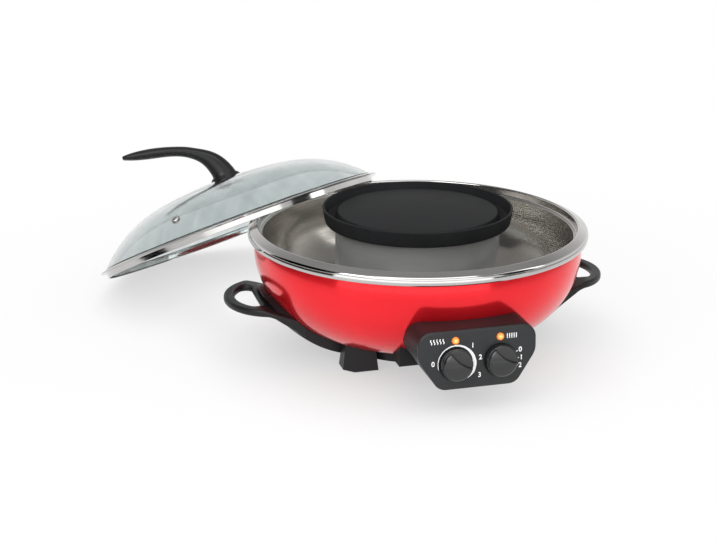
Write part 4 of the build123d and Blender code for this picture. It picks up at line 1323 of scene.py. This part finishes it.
@dataclass
class Knob:
    """A knob: a disc whose one half swells into a grip that ends in the pointer."""

    name: str
    node: str
    body: Body
    spot: Point
    turn: float
    radius: float = 17.4
    back: float = -0.8
    base: float = 9.0
    rim_round: float = 1.6
    grip: float = 6.5
    grip_radius: float = 16.6
    grip_round: float = 2.6
    wall_run: float = 1.5
    crown: float = 0.5
    edge_start: float = 135.0
    pointer: float = 0.1
    wall: float = 2.4
    cavity: float = 6.0
    boss: float = 5.5
    boss_depth: float = 3.6
    bore: float = 3.0
    bore_depth: float = 5.3
    back_round: float = 0.4
    face_start: float = 3.0
    face_steps: int = 56
    round_steps: int = 8
    steps: int = 224
    slack: float = 0.001

    def edge(self) -> tuple[Vector, float]:
        """Give the centre and radius of the arc that bounds the grip.

        Returns:
            The centre and the radius, in millimetres.
        """
        across = self.grip_radius * math.cos(math.asin(self.pointer))
        low = self.grip_radius * self.pointer
        turn = math.radians(self.edge_start)
        far = Vector((self.grip_radius * math.cos(turn), self.grip_radius * math.sin(turn)))
        reach = far - Vector((across, low))
        bend = reach.dot(reach) / (2 * reach.y)
        return Vector((across, low + bend)), bend

    def swell(self, point: Vector) -> float:
        """Give the height of the grip over a point of the knob's top.

        Args:
            point: the point, in the knob's own frame.

        Returns:
            The height in millimetres, none away from the grip.
        """
        if point.z < self.back + self.base - self.rim_round - self.slack:
            return 0.0
        centre, bend = self.edge()
        away = point.xy.length
        inside = (point.xy - centre).length - bend
        rise = 1.0
        for gap, run in ((inside, self.wall_run), (self.grip_radius - away, self.grip_round)):
            part = min(max(gap / run, 0.0), 1.0)
            rise *= math.sqrt(1 - (1 - part) ** 2)
        dome = 1 - self.crown * (away / self.grip_radius) ** 2
        return self.grip * dome * rise

    def section(self) -> list[Point]:
        """Draw the half section, from the bore up and round to the middle of the top.

        Returns:
            Its (radius, height) points in millimetres.
        """
        top = self.back + self.base
        ceiling = self.back + self.cavity
        boss_back = ceiling - self.boss_depth
        inner = self.radius - self.wall
        start = self.grip_radius - self.face_start
        corners = [(inner, self.back), (self.radius, self.back), (self.radius, top), (start, top)]
        outside = rounded(corners, [self.back_round, self.rim_round], self.round_steps)
        bore_end = boss_back + self.bore_depth
        hidden = [
            (0, bore_end),
            (self.bore, bore_end),
            (self.bore, boss_back),
            (self.boss, boss_back),
            (self.boss, ceiling),
            (inner, ceiling),
        ]
        reach = outside[-1][0]
        face = [(reach * (1 - step / self.face_steps), top) for step in range(1, self.face_steps + 1)]
        return hidden + outside + face

    def build(self) -> None:
        """Build and dress the knob."""
        seat = on_panel(self.spot) @ Matrix.Rotation(math.radians(self.turn), 4, "Z")
        cap = turned(self.name, self.section(), seat, self.steps, lift=self.swell)
        stand_for(cap, self.body, KNOB, self.node)


@dataclass
class CarriedOver:
    """Nodes whose solids are shown as they are, and their finishes."""

    finishes: dict[Finish, tuple[str, ...]]

    def build(self) -> None:
        """Dress every node of the list."""
        for finish, names in self.finishes.items():
            for name in names:
                dress(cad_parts[name], finish)
            LOG.info("%s dressed with %s", ", ".join(names), finish.name)


@dataclass
class Studio:
    """Floor, lights, world, camera, and cards that only polished surfaces show, in metres."""

    camera_place: Triple = (-0.48113, -1.52595, 0.6225)
    yaw: float = -0.0438
    pitch: float = 0.3232
    turn: float = 17.5
    focal: float = 1411.5
    width: int = 716
    floor_size: float = 9.0
    shadow_reach: float = 0.15
    shadow_open: float = 0.9
    shadow_depth: float = 0.6
    backdrop_share: float = 0.86
    backdrop_run: Point = (0.3, 0.85)
    ceiling_run: Point = (0.1, 0.7)
    ceiling_level: float = 0.38
    world_level: float = 0.45
    aim: Triple = (0.0, 0.0, 0.1)
    lamps: tuple[tuple[str, Triple, Point, float], ...] = (
        ("key_softbox", (-1.4, -1.0, 1.5), (1.2, 1.2), 18.0),
        ("fill_softbox", (1.5, -0.9, 1.2), (0.9, 1.3), 8.0),
        ("top_softbox", (0.0, -0.6, 2.1), (1.5, 1.1), 12.0),
        ("front_softbox", (-0.4, -2.0, 1.0), (1.6, 0.9), 15.0),
    )
    standing_cards: tuple[tuple[str, Triple, Point, float], ...] = (
        ("black_card_left", (-1.25, 0.1, 0.72), (1.25, 1.4), 0.0),
        ("black_card_right", (0.74, -0.72, 0.55), (0.42, 1.1), 0.03),
        ("white_card", (-0.32, -1.62, 0.95), (2.4, 1.5), 1.9),
    )
    lying_cards: tuple[tuple[str, Point, Point, float], ...] = (
        ("dark_strip_left", (0.55, 0.74), (147.0, 206.0), 0.0),
        ("white_strip", (0.58, 0.74), (206.5, 295.0), 2.1),
        ("dark_strip_right", (0.6, 0.74), (295.5, 317.0), 0.05),
        ("grey_strip_right", (0.56, 0.74), (317.5, 395.0), 0.45),
    )
    card_steps: int = 24
    card_lift: float = 0.002

    def camera(self) -> None:
        """Set up the camera."""
        heading = self.yaw + math.radians(self.turn)
        level = math.cos(self.pitch)
        ahead = Vector((math.sin(heading) * level, math.cos(heading) * level, -math.sin(self.pitch)))
        right = Vector((math.cos(heading), -math.sin(heading), 0))
        up = right.cross(ahead)
        data = bpy.data.cameras.new("studio_camera")
        data.sensor_width = 36.0
        data.lens = self.focal * data.sensor_width / self.width
        data.clip_end = 50.0
        place = Matrix.Translation(self.camera_place) @ Matrix((right, up, -ahead)).transposed().to_4x4()
        bpy.context.scene.camera = put("studio_camera", data, place)

    def floor(self) -> None:
        """Lay a large pale floor that keeps a soft shadow and runs out into the white backdrop."""
        mesh = bmesh.new()
        bmesh.ops.create_grid(mesh, x_segments=2, y_segments=2, size=self.floor_size)
        floor = finish_mesh("floor", mesh)
        material, tree, shader = new_material("floor")
        grey = rgb(0.88, 0.88, 0.88)
        feed(tree, shader, {"Base Color": grey, "Roughness": 0.6, "Specular IOR Level": 0.1})
        hollow = add_node(tree, "AmbientOcclusion", {"Distance": self.shadow_reach}, samples=12)
        shadow = map_range(tree, hollow.outputs["AO"], (0.0, self.shadow_open), (self.shadow_depth, 1.0))
        glow = add_node(tree, "Emission", {"Strength": shadow})
        place = add_node(tree, "TexCoord").outputs["Object"]
        away = add_node(tree, "VectorMath", {0: place}, operation="LENGTH").outputs["Value"]
        backdrop = map_range(tree, away, self.backdrop_run, (self.backdrop_share, 1.0), "SMOOTHSTEP")
        rays = add_node(tree, "LightPath").outputs
        seen = largest(tree, *(rays[f"Is {kind} Ray"] for kind in ("Camera", "Transmission", "Glossy")))
        share = combine(tree, "MULTIPLY", backdrop, seen)
        mix = add_node(tree, "MixShader", {0: share, 1: shader.outputs[0], 2: glow.outputs[0]})
        feed(tree, tree.nodes["Material Output"], {"Surface": mix.outputs[0]})
        floor.data.materials.append(material)

    def light(self, name: str, place: Triple, size: Point, power: float) -> None:
        """Hang a soft rectangular light that faces the object.

        Args:
            name: its name.
            place: where it hangs.
            size: its width and height in metres.
            power: its power in watts.
        """
        data = bpy.data.lights.new(name, "AREA")
        data.shape = "RECTANGLE"
        data.size, data.size_y = size
        data.energy = power
        facing = (Vector(self.aim) - Vector(place)).to_track_quat("-Z", "Y").to_matrix().to_4x4()
        put(name, data, Matrix.Translation(place) @ facing).visible_camera = False

    @staticmethod
    def mirrored_only(card: Piece, glow: float) -> None:
        """Stage a card so that only polished surfaces show it, black where it has no glow.

        Args:
            card: the card's mesh.
            glow: how bright it is.
        """
        material, tree, shader = new_material(card.name)
        colours = {"Base Color": rgb(0, 0, 0), "Emission Color": rgb(1, 1, 1)}
        feed(tree, shader, {**colours, "Specular IOR Level": 0.0, "Emission Strength": glow})
        card.data.materials.append(material)
        for kind in ("camera", "diffuse", "transmission", "shadow"):
            setattr(card, f"visible_{kind}", False)

    def standing_card(self, name: str, centre: Triple, size: Point, glow: float) -> None:
        """Stand a card that faces the object.

        Args:
            name: its name.
            centre: its middle.
            size: its width and height in metres.
            glow: how bright it is, none for a black card.
        """
        mesh = bmesh.new()
        bmesh.ops.create_grid(mesh, x_segments=1, y_segments=1, size=0.5)
        bmesh.ops.scale(mesh, vec=(*size, 1.0), verts=mesh.verts)
        facing = Vector((-centre[0], -centre[1], 0)).to_track_quat("Z", "Y").to_matrix().to_4x4()
        self.mirrored_only(finish_mesh(name, mesh, Matrix.Translation(centre) @ facing), glow)

    def lying_card(self, name: str, radii: Point, turns: Point, glow: float) -> None:
        """Lay a card on the floor, as a part of a ring round the object.

        Args:
            name: its name.
            radii: its inner and outer radius in metres.
            turns: the angles it runs between, in degrees.
            glow: how bright it is, none for a black card.
        """
        mesh = bmesh.new()
        rows = []
        for step in range(self.card_steps + 1):
            turn = math.radians(turns[0] + (turns[1] - turns[0]) * step / self.card_steps)
            spots = [(radius * math.cos(turn), radius * math.sin(turn), self.card_lift) for radius in radii]
            rows.append([mesh.verts.new(spot) for spot in spots])
        for low, high in zip(rows, rows[1:]):
            mesh.faces.new((low[0], low[1], high[1], high[0]))
        self.mirrored_only(finish_mesh(name, mesh), glow)

    def world(self) -> None:
        """Set a dim even world that shows as a white backdrop, greyer overhead where metal mirrors it."""
        world = bpy.data.worlds.new("studio")
        world.use_nodes = True
        tree = world.node_tree
        rays = add_node(tree, "LightPath").outputs
        place = add_node(tree, "TexCoord").outputs["Generated"]
        height = add_node(tree, "SeparateXYZ", {0: place}).outputs["Z"]
        ceiling = map_range(tree, height, self.ceiling_run, (1.0, self.ceiling_level), "SMOOTHSTEP")
        mirrored = add_node(tree, "Mix", {0: rays["Is Glossy Ray"], 2: self.world_level, 3: ceiling})
        direct = largest(tree, rays["Is Camera Ray"], rays["Is Transmission Ray"])
        level = add_node(tree, "Mix", {0: direct, 2: mirrored.outputs[0], 3: 1.0})
        feed(tree, tree.nodes["Background"], {"Color": rgb(1, 1, 1), "Strength": level.outputs[0]})
        bpy.context.scene.world = world

    def build(self) -> None:
        """Set up the whole studio."""
        bpy.context.scene.view_settings.view_transform = "Standard"
        self.camera()
        self.floor()
        self.world()
        for lamp in self.lamps:
            self.light(*lamp)
        for card in self.standing_cards:
            self.standing_card(*card)
        for card in self.lying_cards:
            self.lying_card(*card)


def main() -> None:
    """Build every sub-assembly in order."""
    logging.basicConfig(level=logging.INFO, format="%(name)s: %(message)s")
    Bowl().build()
    HandleScrews().build()
    Pot().build()
    Pan().build()
    Lid().build()
    Dials().build()
    Knob("pot_dial_knob", "pot_knob", Body.POT_CONTROL, KNOB_SPOTS[0], turn=-18.0).build()
    Knob("grill_dial_knob", "grill_knob", Body.GRILL_CONTROL, KNOB_SPOTS[1], turn=-15.0).build()
    lamps = {
        AmberLens(name, tuple((Vector(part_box(name)[0]) + Vector(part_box(name)[1])) / 2)): (name,)
        for name in ("pot_lamp_lens", "grill_lamp_lens")
    }
    CarriedOver({**PACKED, **lamps}).build()
    Studio().build()


if __name__ == "__main__":
    main()
